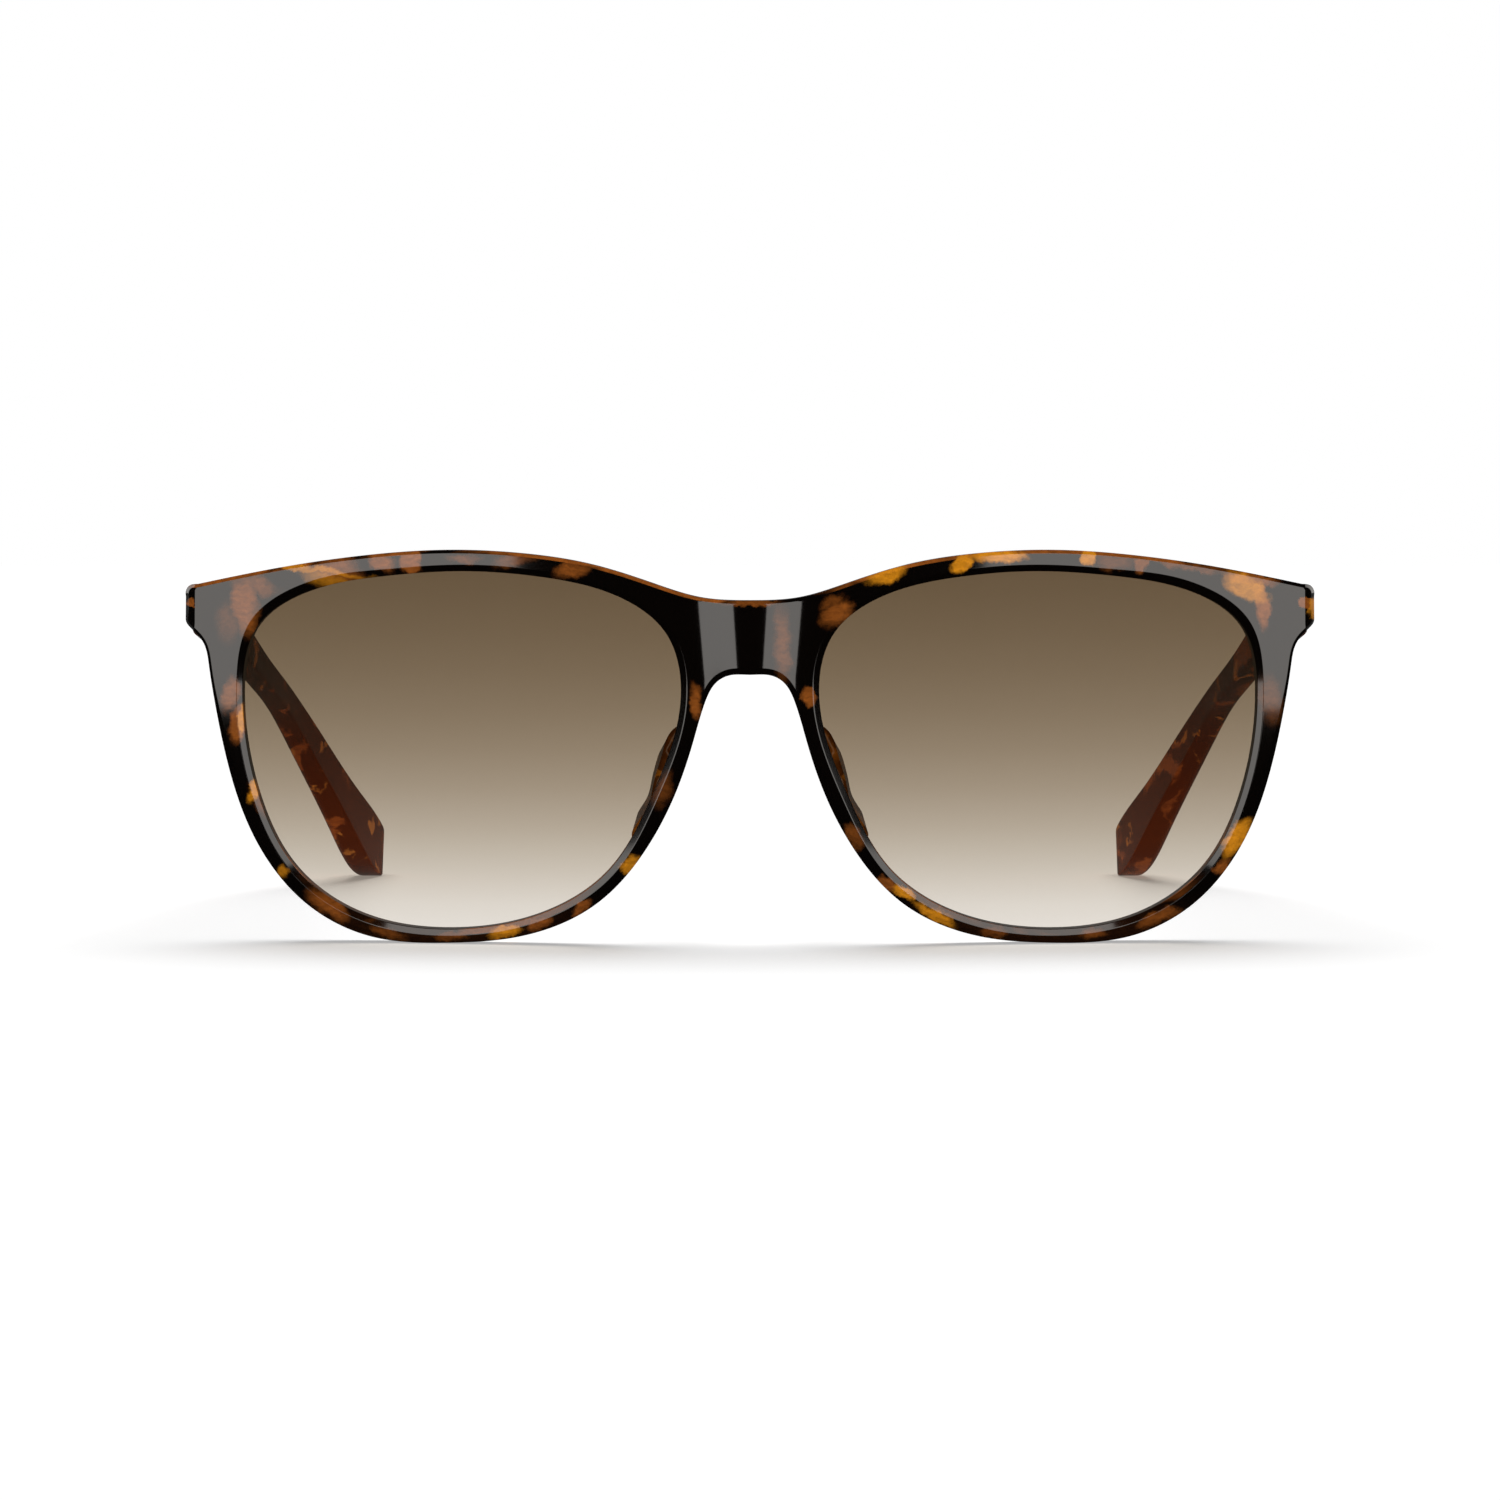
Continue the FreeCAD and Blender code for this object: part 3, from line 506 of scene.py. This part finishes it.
def rounded_ring(width, height, inner, outer):
    """Cross-section with arcs of two radii: u is outwards, v is up. Runs the same way for every station."""
    w, h = width / 2, height / 2
    pts = []
    for cu, cv, r, start in ((w - outer, h - outer, outer, 0), (-w + inner, h - inner, inner, 90),
                             (-w + inner, -h + inner, inner, 180), (w - outer, -h + outer, outer, 270)):
        for k in range(9):
            a = math.radians(start + 90 * k / 8)
            pts.append((cu + r * math.cos(a), cv + r * math.sin(a)))
    full = []
    per_side = 5
    for i, p in enumerate(pts):
        full.append(p)
        if i % 9 == 8:
            q = pts[(i + 1) % len(pts)]
            full += [(p[0] + (q[0] - p[0]) * k / per_side, p[1] + (q[1] - p[1]) * k / per_side)
                     for k in range(1, per_side)]
    return np.array(full)


def temple_stations():
    """Cross-sections along a temple and their distances from its tip, close together at the tip."""
    stations = spline(TEMPLE, 0.8)
    steps = np.linalg.norm(np.diff(stations[:, :3], axis=0), axis=1)
    length = np.concatenate([[0], np.cumsum(steps)])
    left = length[-1] - length
    last = np.array([0.55, 0.35, 0.2, 0.1, 0.03, 0.0])
    tail = np.column_stack([np.interp(length[-1] - last, length, stations[:, c]) for c in range(6)])
    keep = left > 0.6
    return np.vstack([stations[keep], tail]), np.concatenate([left[keep], last])


def make_temple(sign, material):
    verts, rings = [], []
    for (y, x, z, w, h, slope), left in zip(*temple_stations()):
        shrink = 0.0
        if left < TIP_LENGTH:
            t = 1 - left / TIP_LENGTH
            shrink = TIP_ROUND * (1 - math.sqrt(max(0.0, 1 - t * t)))
        if y < HINGE_END:
            clear = float(smooth_step(y, HINGE_START, HINGE_END))
            inside_x = x - w / 2
            cut = max(0.0, HINGE_SIDE - 0.3 * clear - inside_x) * (1 - clear)
            w -= cut
            x += cut / 2
        ring = rounded_ring(w - 2 * shrink, h - 2 * shrink, max(0.12, TEMPLE_INNER_ROUND - shrink * 0.1),
                            max(0.4, TEMPLE_OUTER_ROUND - shrink * 0.3))
        a = math.radians(slope)
        rows = [[sign * (x + u), y + v * math.sin(a), z + v * math.cos(a)] for u, v in ring]
        rings.append(np.arange(len(verts), len(verts) + len(rows)))
        verts += rows
    verts = np.array(verts)
    verts[:, 2] = np.maximum(verts[:, 2], 0.0)
    verts[:, 1] = np.minimum(verts[:, 1], TEMPLE_REAR_LIMIT)
    faces = []
    for a, b in zip(rings, rings[1:]):
        for i in range(len(a)):
            j = (i + 1) % len(a)
            f = (int(a[i]), int(a[j]), int(b[j]), int(b[i]))
            faces.append(f if sign > 0 else f[::-1])
    first, last = [int(i) for i in rings[0]], [int(i) for i in rings[-1]]
    faces.append(tuple(first[::-1]) if sign > 0 else tuple(first))
    faces.append(tuple(last) if sign > 0 else tuple(last[::-1]))
    name = "temple_acetate_" + ("left" if sign > 0 else "right")
    mesh = bpy.data.meshes.new(name)
    mesh.from_pydata(((verts + [0, FRONT_Y, 0]) / 1000).tolist(), [], faces)
    mesh.validate()
    for poly in mesh.polygons:
        poly.use_smooth = True
    mesh.set_sharp_from_angle(angle=math.radians(38))
    mesh.materials.append(material)
    obj = bpy.data.objects.new(name, mesh)
    bpy.context.scene.collection.objects.link(obj)
    return obj


# ---- nose pads ---------------------------------------------------------------------------------------

def make_pad(sign, material):
    shell = Shell()
    root = spline([(sign * x, z) for x, z in PAD_ROOT], 0.35, closed=True)
    rear = spline([(sign * x, z) for x, z in PAD_REAR], 0.35, closed=True)
    if sign < 0:
        root, rear = root[::-1], rear[::-1]
    root, rear = (even(p, np.linalg.norm(np.roll(p, -1, 0) - p, axis=1).sum() / PAD_POINTS)[:PAD_POINTS]
                  for p in (root, rear))
    # share of the way back, inset, lean of the normal in degrees
    spots = [(t, 0.0, 0) for t in (0.0, 0.25, 0.5, 0.7, 0.85)]
    spots += [(1.0, PAD_ROUND * (1 - math.cos(math.radians(a))), a) for a in (0, 20, 40, 60, 75, 90)]
    rings = []
    for t, inset, a in spots:
        wide = smooth_step(t, 0, 1) * 0.4 + t * 0.6
        p = root * (1 - wide) + rear * wide
        n = outline_normals(p)
        q = p - n * inset
        c, s = math.cos(math.radians(a)), math.sin(math.radians(a))
        y = PAD_START_Y + (PAD_END_Y - PAD_ROUND - PAD_START_Y) * t + PAD_ROUND * s
        ids = shell.add(np.column_stack([q[:, 0], np.full(len(q), y), q[:, 1]]),
                        np.column_stack([n[:, 0] * c, np.full(len(q), s + 0.05), n[:, 1] * c]))
        rings.append((ids, q))
    for (a, _), (b, _) in zip(rings, rings[1:]):
        shell.bridge(a, b)
    fill(shell, [rings[-1][0]], rings[-1][1], [], lambda x, z: np.full_like(x, PAD_END_Y), 1, NO_POINTS, 0.6)
    fill(shell, [rings[0][0]], rings[0][1], [], lambda x, z: np.full_like(x, PAD_START_Y), -1, NO_POINTS, 1.2)
    return place("nose_rest_" + ("left" if sign > 0 else "right"), shell, material)


# ---- materials ---------------------------------------------------------------------------------------

class Nodes:
    """Small helper that adds and wires shader nodes."""

    def __init__(self, name):
        self.material = bpy.data.materials.new(name)
        self.material.use_nodes = True
        self.tree = self.material.node_tree
        self.shader = self.tree.nodes["Principled BSDF"]

    def add(self, kind, inputs=None, **settings):
        node = self.tree.nodes.new(kind)
        for key, value in settings.items():
            setattr(node, key, value)
        for key, value in (inputs or {}).items():
            if isinstance(value, bpy.types.NodeSocket):
                self.tree.links.new(value, node.inputs[key])
            else:
                node.inputs[key].default_value = value
        return node

    def math(self, operation, a, b=0.0, c=0.0):
        return self.add("ShaderNodeMath", {0: a, 1: b, 2: c}, operation=operation).outputs[0]

    def vector(self, operation, a, b=(0, 0, 0)):
        node = self.add("ShaderNodeVectorMath", {0: a, 1: b}, operation=operation)
        return node.outputs["Value"] if operation == "LENGTH" else node.outputs["Vector"]

    def scaled(self, a, factor):
        node = self.add("ShaderNodeVectorMath", {0: a, "Scale": factor}, operation="SCALE")
        return node.outputs["Vector"]

    def ramp(self, value, low, high, smooth=True):
        node = self.add("ShaderNodeMapRange", {"Value": value, "From Min": low, "From Max": high})
        node.interpolation_type = "SMOOTHSTEP" if smooth else "LINEAR"
        return node.outputs["Result"]

    def blend(self, factor, a, b):
        node = self.add("ShaderNodeMix", data_type="RGBA")
        for socket, value in ((node.inputs[0], factor), (node.inputs[6], a), (node.inputs[7], b)):
            if isinstance(value, bpy.types.NodeSocket):
                self.tree.links.new(value, socket)
            else:
                socket.default_value = value
        return node.outputs[2]

    def noise(self, vector, scale, detail=2.0, rough=0.5, distortion=0.0):
        return self.add("ShaderNodeTexNoise", {"Vector": vector, "Scale": scale, "Detail": detail,
                                               "Roughness": rough, "Distortion": distortion})


AMBER, GOLD = 0, 1
# Amber and golden clouds in the sheet that the front is cut from: x, height, half width, half height,
# turn in degrees, tone, strength, softness of the edge.
CLOUDS = [
    (-65.0, 43.0, 1.5, 3.4, 8, AMBER, 0.85, 0.45), (-67.2, 41.0, 1.1, 1.8, 10, AMBER, 0.35, 0.8),
    (-63.6, 45.8, 2.6, 0.9, -12, AMBER, 0.6, 0.6), (-58.0, 48.3, 8.0, 0.5, -10, GOLD, 0.7, 0.5),
    (-52.8, 47.8, 2.6, 1.6, -10, AMBER, 0.75, 0.5), (-53.4, 46.0, 3.4, 0.9, -20, GOLD, 0.45, 0.6),
    (-47.0, 48.8, 1.7, 1.2, -30, AMBER, 0.9, 0.35), (-43.3, 48.9, 1.5, 1.6, 0, AMBER, 0.95, 0.18),
    (-36.5, 49.3, 1.8, 0.5, 0, AMBER, 0.5, 0.6), (-30.0, 49.0, 2.2, 0.8, 10, AMBER, 0.55, 0.6),
    (-22.6, 47.9, 2.2, 0.9, 14, AMBER, 0.8, 0.5), (-72.4, 43.7, 0.6, 0.5, 0, AMBER, 1.0, 0.2),
    (-66.9, 31.8, 1.0, 2.0, -12, AMBER, 0.8, 0.5), (-66.0, 28.0, 1.1, 2.3, -10, AMBER, 0.95, 0.3),
    (-65.4, 28.6, 0.5, 1.9, -10, GOLD, 0.9, 0.3), (-63.8, 19.6, 0.7, 1.7, -20, GOLD, 0.95, 0.4),
    (-63.0, 18.2, 1.9, 1.0, -60, AMBER, 0.45, 0.6), (-60.0, 8.9, 0.8, 0.7, 0, GOLD, 0.6, 0.5),
    (-54.0, 4.6, 2.9, 1.2, -36, AMBER, 0.85, 0.5), (-46.3, 1.2, 2.2, 0.7, -14, AMBER, 0.6, 0.6),
    (-38.3, 0.8, 1.8, 0.7, 0, AMBER, 0.55, 0.6), (-31.2, 1.5, 2.0, 0.7, 10, GOLD, 0.9, 0.35),
    (-26.8, 2.9, 1.6, 0.7, 22, AMBER, 0.85, 0.4),
    (-21.2, 4.6, 1.4, 0.7, 34, AMBER, 0.9, 0.4), (-15.3, 10.4, 1.3, 0.7, 52, GOLD, 0.75, 0.4),
    (-7.0, 31.1, 0.8, 2.0, 4, AMBER, 0.9, 0.4), (-11.0, 20.0, 0.8, 2.0, -20, AMBER, 0.35, 0.7),
    (4.1, 38.2, 0.9, 3.8, 2, AMBER, 0.55, 0.7), (0.2, 43.6, 3.0, 0.4, 0, AMBER, 0.7, 0.5),
    (7.4, 31.6, 0.9, 1.3, 0, AMBER, 0.95, 0.3), (11.0, 42.2, 1.8, 1.3, 30, AMBER, 0.85, 0.5),
    (10.2, 43.8, 1.4, 0.8, 20, AMBER, 0.5, 0.5), (17.4, 47.2, 2.3, 0.9, 18, GOLD, 0.9, 0.5),
    (27.2, 48.6, 1.6, 0.8, 32, GOLD, 0.95, 0.3), (31.8, 49.6, 3.3, 0.9, -2, GOLD, 1.0, 0.35),
    (42.9, 49.3, 1.1, 1.3, 30, GOLD, 0.95, 0.22), (46.6, 48.8, 2.2, 1.0, -6, AMBER, 0.45, 0.6),
    (50.2, 48.6, 0.8, 1.2, -24, AMBER, 0.85, 0.35), (56.0, 48.3, 5.0, 0.5, -9, AMBER, 0.5, 0.6),
    (64.0, 45.4, 3.0, 1.3, -32, GOLD, 0.8, 0.35), (66.1, 42.9, 1.0, 2.7, 6, AMBER, 0.95, 0.3),
    (64.3, 46.6, 3.2, 0.6, -10, AMBER, 0.85, 0.35), (72.0, 43.4, 1.2, 0.75, 0, AMBER, 1.0, 0.15),
    (72.6, 42.9, 0.6, 1.2, 0, GOLD, 0.8, 0.3), (67.0, 31.0, 1.2, 2.4, 10, AMBER, 0.45, 0.8),
    (62.6, 13.4, 1.3, 2.6, -36, GOLD, 0.95, 0.35), (60.6, 9.8, 0.9, 1.1, -40, AMBER, 0.9, 0.4),
    (52.5, 3.2, 2.6, 0.8, 20, AMBER, 0.75, 0.45), (44.0, 1.1, 1.3, 0.7, 8, AMBER, 0.6, 0.6),
    (31.0, 1.3, 1.6, 0.8, -8, AMBER, 0.5, 0.5), (23.4, 4.0, 2.8, 0.8, -28, GOLD, 0.9, 0.4),
    (19.6, 6.9, 1.4, 0.8, -38, GOLD, 0.9, 0.35), (-40.0, 0.8, 27.0, 3.4, 0, AMBER, 0.06, 0.9),
    (40.0, 0.8, 27.0, 3.4, 0, AMBER, 0.06, 0.9),
    (17.6, 7.9, 1.3, 0.8, -45, AMBER, 0.85, 0.4), (13.0, 13.9, 0.8, 1.4, 30, AMBER, 0.5, 0.5),
]
WARP_MM = 2.9
DARK = (0.0010, 0.0005, 0.0003, 1)
AMBER_COLOR = (0.23, 0.066, 0.010, 1)
GOLD_COLOR = (0.54, 0.205, 0.008, 1)


def tortoiseshell(name, clouds, dark, amber, gold, scatter=None, tip=None):
    """Dark acetate with amber clouds; scatter adds free clouds through the whole solid. Where clouds are
    given, an amber glow is also painted on upward-facing edges as painted light.

    tip is the lighter ground colour painted towards the rear ends: painted light, standing in for light
    shining through the material there.
    """
    n = Nodes(name)
    place_m = n.add("ShaderNodeTexCoord").outputs["Object"]
    mm = n.scaled(place_m, 1000.0)
    warp = n.noise(mm, 0.34, 5.0, 0.66).outputs["Color"]
    warp = n.scaled(n.vector("SUBTRACT", warp, (0.5, 0.5, 0.5)), WARP_MM)
    warped = n.vector("ADD", mm, warp)
    masks = {AMBER: None, GOLD: None}
    for x, z, half_x, half_z, turn, tone, strength, soft in clouds:
        mapped = n.add("ShaderNodeMapping", {"Vector": warped, "Location": (x, 0, z),
                                             "Rotation": (0, math.radians(-turn), 0),
                                             "Scale": (half_x, 1000.0, half_z)}, vector_type="TEXTURE")
        away = n.vector("LENGTH", mapped.outputs[0])
        node = n.add("ShaderNodeMapRange", {"Value": away, "From Min": 1 + soft, "From Max": 1 - soft,
                                            "To Min": 0.0, "To Max": strength})
        node.interpolation_type = "SMOOTHSTEP"
        mask = node.outputs["Result"]
        masks[tone] = mask if masks[tone] is None else n.math("MAXIMUM", masks[tone], mask)
    if scatter is not None:
        stretch, amount, rich = scatter
        wide = n.vector("MULTIPLY", warped, stretch)
        free = n.noise(wide, 1.0, 2.5, 0.5, 0.8).outputs["Fac"]
        free = n.ramp(free, 0.62 - amount, 0.70 - amount)
        bright = n.vector("ADD", wide, (7.3, 2.1, 4.4))
        bright = n.ramp(n.noise(bright, 1.7, 2.0, 0.5, 0.6).outputs["Fac"], 0.66 - rich, 0.74 - rich)
        masks[AMBER] = free if masks[AMBER] is None else n.math("MAXIMUM", masks[AMBER], free)
        masks[GOLD] = bright if masks[GOLD] is None else n.math("MAXIMUM", masks[GOLD], bright)
    if clouds:
        # Painted light: amber painted in places on upward-facing edges, as a glow of light let in there; flat
        # tops get less of it
        normal = n.add("ShaderNodeNewGeometry").outputs["Normal"]
        up = n.add("ShaderNodeSeparateXYZ", {0: normal}).outputs["Z"]
        painted_glow = n.noise(n.vector("MULTIPLY", mm, (0.045, 0.3, 0.05)), 1.0, 3.0, 0.6).outputs["Fac"]
        painted_glow = n.math("MULTIPLY", n.ramp(up, 0.3, 0.5), n.ramp(painted_glow, 0.44, 0.56))
        flat_top = n.math("MULTIPLY_ADD", n.ramp(up, 0.8, 0.95), -0.6, 1.0)
        painted_glow = n.math("MULTIPLY", painted_glow, flat_top)
        masks[AMBER] = n.math("MAXIMUM", masks[AMBER], painted_glow)
    # Painted light: the ground colour lightens towards the rear ends, for light shining through them
    if tip is not None:
        depth = n.add("ShaderNodeSeparateXYZ", {0: mm}).outputs["Y"]
        dark = n.blend(n.ramp(depth, -35.0, 45.0), dark, tip)
    grain = n.noise(n.vector("MULTIPLY", warped, (0.75, 1.0, 2.1)), 1.0, 4.0, 0.62).outputs["Fac"]
    grain = n.ramp(grain, 0.25, 0.75, False)
    # The amber mask carries the amber clouds and, on the front, the painted glow
    amber_and_glow_mask = n.math("MULTIPLY", masks[AMBER], n.math("MULTIPLY_ADD", grain, 0.70, 0.42))
    gold_mask = n.math("MULTIPLY", masks[GOLD], n.math("MULTIPLY_ADD", grain, 0.60, 0.52))
    color = n.blend(amber_and_glow_mask, dark, amber)
    color = n.blend(gold_mask, color, gold)
    n.tree.links.new(color, n.shader.inputs["Base Color"])
    n.shader.inputs["Roughness"].default_value = 0.07
    n.shader.inputs["IOR"].default_value = 1.5
    return n.material


# Brown dye: absorption of red, green and blue where it is full, its share left at the bottom, and how
# it grows with height, as a share of 50 mm.
TINT_ABSORPTION = (2.1, 2.5, 3.1)
TINT_LOW = 0.12
TINT_KNEE = 0.72
TINT_POWER = 1.6
TINT_STEPS = 11


def tint_per_face(share):
    """Colour that one face passes; light crosses the front and the rear face."""
    risen, knee = share**TINT_POWER, TINT_KNEE**TINT_POWER
    density = TINT_LOW + (1 - TINT_LOW) * risen * (1 + knee) / (risen + knee)
    return [math.exp(-0.5 * density * a) for a in TINT_ABSORPTION]


def gradient_lens():
    """Brown tint that fades towards the bottom."""
    n = Nodes("gradient_lens")
    place_m = n.add("ShaderNodeTexCoord").outputs["Object"]
    height = n.add("ShaderNodeSeparateXYZ", {0: place_m}).outputs["Z"]
    share = n.ramp(height, 0.0, 0.050, False)
    ramp = n.add("ShaderNodeValToRGB", {"Fac": share})
    elements = ramp.color_ramp.elements
    while len(elements) > 1:
        elements.remove(elements[0])
    for i in range(TINT_STEPS):
        at = i / (TINT_STEPS - 1)
        element = elements[0] if i == 0 else elements.new(at)
        element.position = at
        element.color = tint_per_face(at) + [1]
    clear = n.add("ShaderNodeBsdfTransparent", {"Color": ramp.outputs["Color"]})
    gloss = n.shader
    gloss.inputs["Base Color"].default_value = (0.02, 0.016, 0.012, 1)
    gloss.inputs["Roughness"].default_value = 0.03
    gloss.inputs["Specular IOR Level"].default_value = 1.0
    glance = n.add("ShaderNodeLayerWeight", {"Blend": 0.5}).outputs["Facing"]
    glance = n.math("MULTIPLY_ADD", n.math("POWER", glance, 4.0), 0.6, 0.004)
    outside = n.math("SUBTRACT", 1.0, n.add("ShaderNodeNewGeometry").outputs["Backfacing"])
    glance = n.math("MULTIPLY", glance, outside)
    mix = n.add("ShaderNodeMixShader", {0: glance, 1: clear.outputs[0], 2: gloss.outputs[0]})
    out = n.tree.nodes["Material Output"]
    n.tree.links.new(mix.outputs[0], out.inputs["Surface"])
    return n.material


def metal(name, color, rough, streak):
    """Satin metal with fine turning or brushing marks."""
    n = Nodes(name)
    place_m = n.add("ShaderNodeTexCoord").outputs["Object"]
    mm = n.vector("MULTIPLY", place_m, tuple(1000 * s for s in streak))
    marks = n.noise(mm, 1.0, 4.0, 0.6).outputs["Fac"]
    shade = n.ramp(marks, 0.3, 0.7, False)
    dim = tuple(c * 0.82 for c in color[:3]) + (1,)
    n.tree.links.new(n.blend(shade, dim, color), n.shader.inputs["Base Color"])
    spread = n.add("ShaderNodeMapRange", {"Value": marks, "From Min": 0.3, "From Max": 0.7,
                                          "To Min": rough * 0.75, "To Max": rough * 1.3})
    n.tree.links.new(spread.outputs["Result"], n.shader.inputs["Roughness"])
    n.shader.inputs["Metallic"].default_value = 1.0
    return n.material


def nylon():
    n = Nodes("nylon")
    place_m = n.add("ShaderNodeTexCoord").outputs["Object"]
    cloud = n.noise(place_m, 900.0, 2.0).outputs["Fac"]
    color = n.blend(cloud, (0.72, 0.69, 0.62, 1), (0.84, 0.82, 0.76, 1))
    n.tree.links.new(color, n.shader.inputs["Base Color"])
    n.shader.inputs["Roughness"].default_value = 0.45
    return n.material


front_acetate = tortoiseshell("front_tortoiseshell", CLOUDS, DARK, AMBER_COLOR, GOLD_COLOR)
# The temple's last colour is painted light: a lighter ground towards the rear ends
temple_acetate = tortoiseshell("temple_tortoiseshell", [], (0.050, 0.0170, 0.0090, 1),
                               (0.46, 0.120, 0.030, 1), (0.70, 0.25, 0.055, 1),
                               ((0.20, 0.06, 0.15), 0.080, 0.045), (0.125, 0.0270, 0.0095, 1))
pad_acetate = tortoiseshell("pad_tortoiseshell", [], (0.14, 0.046, 0.009, 1), (0.42, 0.15, 0.02, 1),
                            (0.55, 0.21, 0.02, 1), ((0.3, 0.2, 0.22), 0.10, 0.06))
lens_material = gradient_lens()
hinge_material = metal("hinge_metal", (0.60, 0.56, 0.48, 1), 0.30, (0.8, 0.8, 14.0))
screw_material = metal("screw_metal", (0.70, 0.69, 0.66, 1), 0.22, (9.0, 9.0, 2.0))
core_material = metal("core_wire", (0.55, 0.53, 0.50, 1), 0.35, (6.0, 0.5, 6.0))
nylon_material = nylon()

# ---- the object --------------------------------------------------------------------------------------

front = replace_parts(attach(make_front(front_acetate), "front_assembly"), "front_frame")
for sign, side in ((1, "left"), (-1, "right")):
    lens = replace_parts(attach(make_lens(sign, lens_material), "front_assembly"), "lens_" + side)
    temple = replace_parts(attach(make_temple(sign, temple_acetate), side + "_temple"), "temple_" + side)
    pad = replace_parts(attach(make_pad(sign, pad_acetate), "front_assembly"), "nose_pad_" + side)

FINISHES = {"front_hinge_leaf": hinge_material, "temple_hinge_leaf": hinge_material,
            "hinge_pivot_screw": screw_material, "front_leaf_screws": screw_material,
            "temple_leaf_screws": screw_material, "hinge_washers": nylon_material,
            "temple_core": core_material}
for kind, finish in FINISHES.items():
    for side in ("left", "right"):
        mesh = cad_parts[kind + "_" + side].data
        mesh.materials.clear()
        mesh.materials.append(finish)

# ---- studio ------------------------------------------------------------------------------------------

scene = bpy.context.scene
scene.view_settings.view_transform = "Standard"

floor_mesh = bpy.data.meshes.new("floor")
floor_mesh.from_pydata([(-5, -5, 0), (5, -5, 0), (5, 5, 0), (-5, 5, 0)], [], [(0, 1, 2, 3)])
floor = bpy.data.objects.new("floor", floor_mesh)
scene.collection.objects.link(floor)
paint = bpy.data.materials.new("floor_paint")
paint.use_nodes = True
for key, value in (("Base Color", (0.9, 0.9, 0.9, 1)), ("Roughness", 1.0), ("Specular IOR Level", 0.0),
                   ("Emission Color", (1, 1, 1, 1)), ("Emission Strength", 0.40)):
    paint.node_tree.nodes["Principled BSDF"].inputs[key].default_value = value
floor_mesh.materials.append(paint)
floor.visible_glossy = False  # the acetate shows the softboxes, not the floor

# The softboxes light the object only, so that the floor stays evenly pale
unlit_floor = bpy.data.collections.new("unlit_floor")
unlit_floor.objects.link(floor)
unlit_floor.collection_objects[0].light_linking.link_state = "EXCLUDE"


def softbox(name, azimuth, distance_m, centre_z, wide, tall, radiance):
    """Rectangular light facing the object; azimuth 0 is in front and 90 on the wearer's left."""
    light = bpy.data.lights.new(name, "AREA")
    light.shape = "RECTANGLE"
    light.size, light.size_y = wide, tall
    light.energy = radiance * math.pi * wide * tall
    light.color = (1.0, 0.955, 0.91)
    obj = bpy.data.objects.new(name, light)
    a = math.radians(azimuth)
    obj.location = (math.sin(a) * distance_m, -math.cos(a) * distance_m, centre_z)
    towards = Vector((-obj.location.x, -obj.location.y, 0))
    obj.rotation_mode = "QUATERNION"
    obj.rotation_quaternion = towards.to_track_quat("-Z", "Y")
    obj.visible_camera = False
    obj.light_linking.receiver_collection = unlit_floor
    scene.collection.objects.link(obj)
    return obj


softbox("softbox_left", 37.5, 1.3, 0.85, 1.0, 1.6, 3.2)
softbox("softbox_right", -37.5, 1.3, 0.85, 1.0, 1.6, 3.2)
softbox("rear_box_left", 125, 1.4, 0.7, 0.7, 1.2, 1.6)
softbox("rear_box_right", -125, 1.4, 0.7, 0.7, 1.2, 1.6)

overhead = bpy.data.lights.new("overhead", "SUN")
overhead.energy = 2.35
overhead.angle = math.radians(50)
overhead_obj = bpy.data.objects.new("overhead", overhead)
overhead_obj.location = (0, 0, 2)
overhead_obj.rotation_euler = (math.radians(-25), 0, 0)
overhead_obj.visible_glossy = False
scene.collection.objects.link(overhead_obj)

world = bpy.data.worlds.new("studio")
scene.world = world
world.use_nodes = True
tree = world.node_tree
tree.nodes.clear()
seen = tree.nodes.new("ShaderNodeLightPath")
direction = tree.nodes.new("ShaderNodeTexCoord")
split = tree.nodes.new("ShaderNodeSeparateXYZ")
tree.links.new(direction.outputs["Generated"], split.inputs[0])
behind = tree.nodes.new("ShaderNodeMapRange")
behind.interpolation_type = "SMOOTHSTEP"
for key, value in (("From Min", 0.25), ("From Max", 0.75), ("To Min", 0.012), ("To Max", 0.15)):
    behind.inputs[key].default_value = value
tree.links.new(split.outputs["Y"], behind.inputs["Value"])
strength = tree.nodes.new("ShaderNodeMix")
strength.data_type = "FLOAT"
strength.inputs[3].default_value = 1.0
tree.links.new(seen.outputs["Is Camera Ray"], strength.inputs[0])
tree.links.new(behind.outputs["Result"], strength.inputs[2])
background = tree.nodes.new("ShaderNodeBackground")
background.inputs["Color"].default_value = (1, 1, 1, 1)
tree.links.new(strength.outputs[0], background.inputs["Strength"])
output = tree.nodes.new("ShaderNodeOutputWorld")
tree.links.new(background.outputs[0], output.inputs["Surface"])

camera = bpy.data.cameras.new("camera")
camera.sensor_width = 36.0
camera.lens = 132.6
camera.clip_start = 0.05
camera.clip_end = 50.0
camera_obj = bpy.data.objects.new("camera", camera)
camera_obj.location = (0.0, -0.77222, 0.055)
camera_obj.rotation_euler = (math.radians(90 - 2.452), 0, 0)
scene.collection.objects.link(camera_obj)
scene.camera = camera_obj
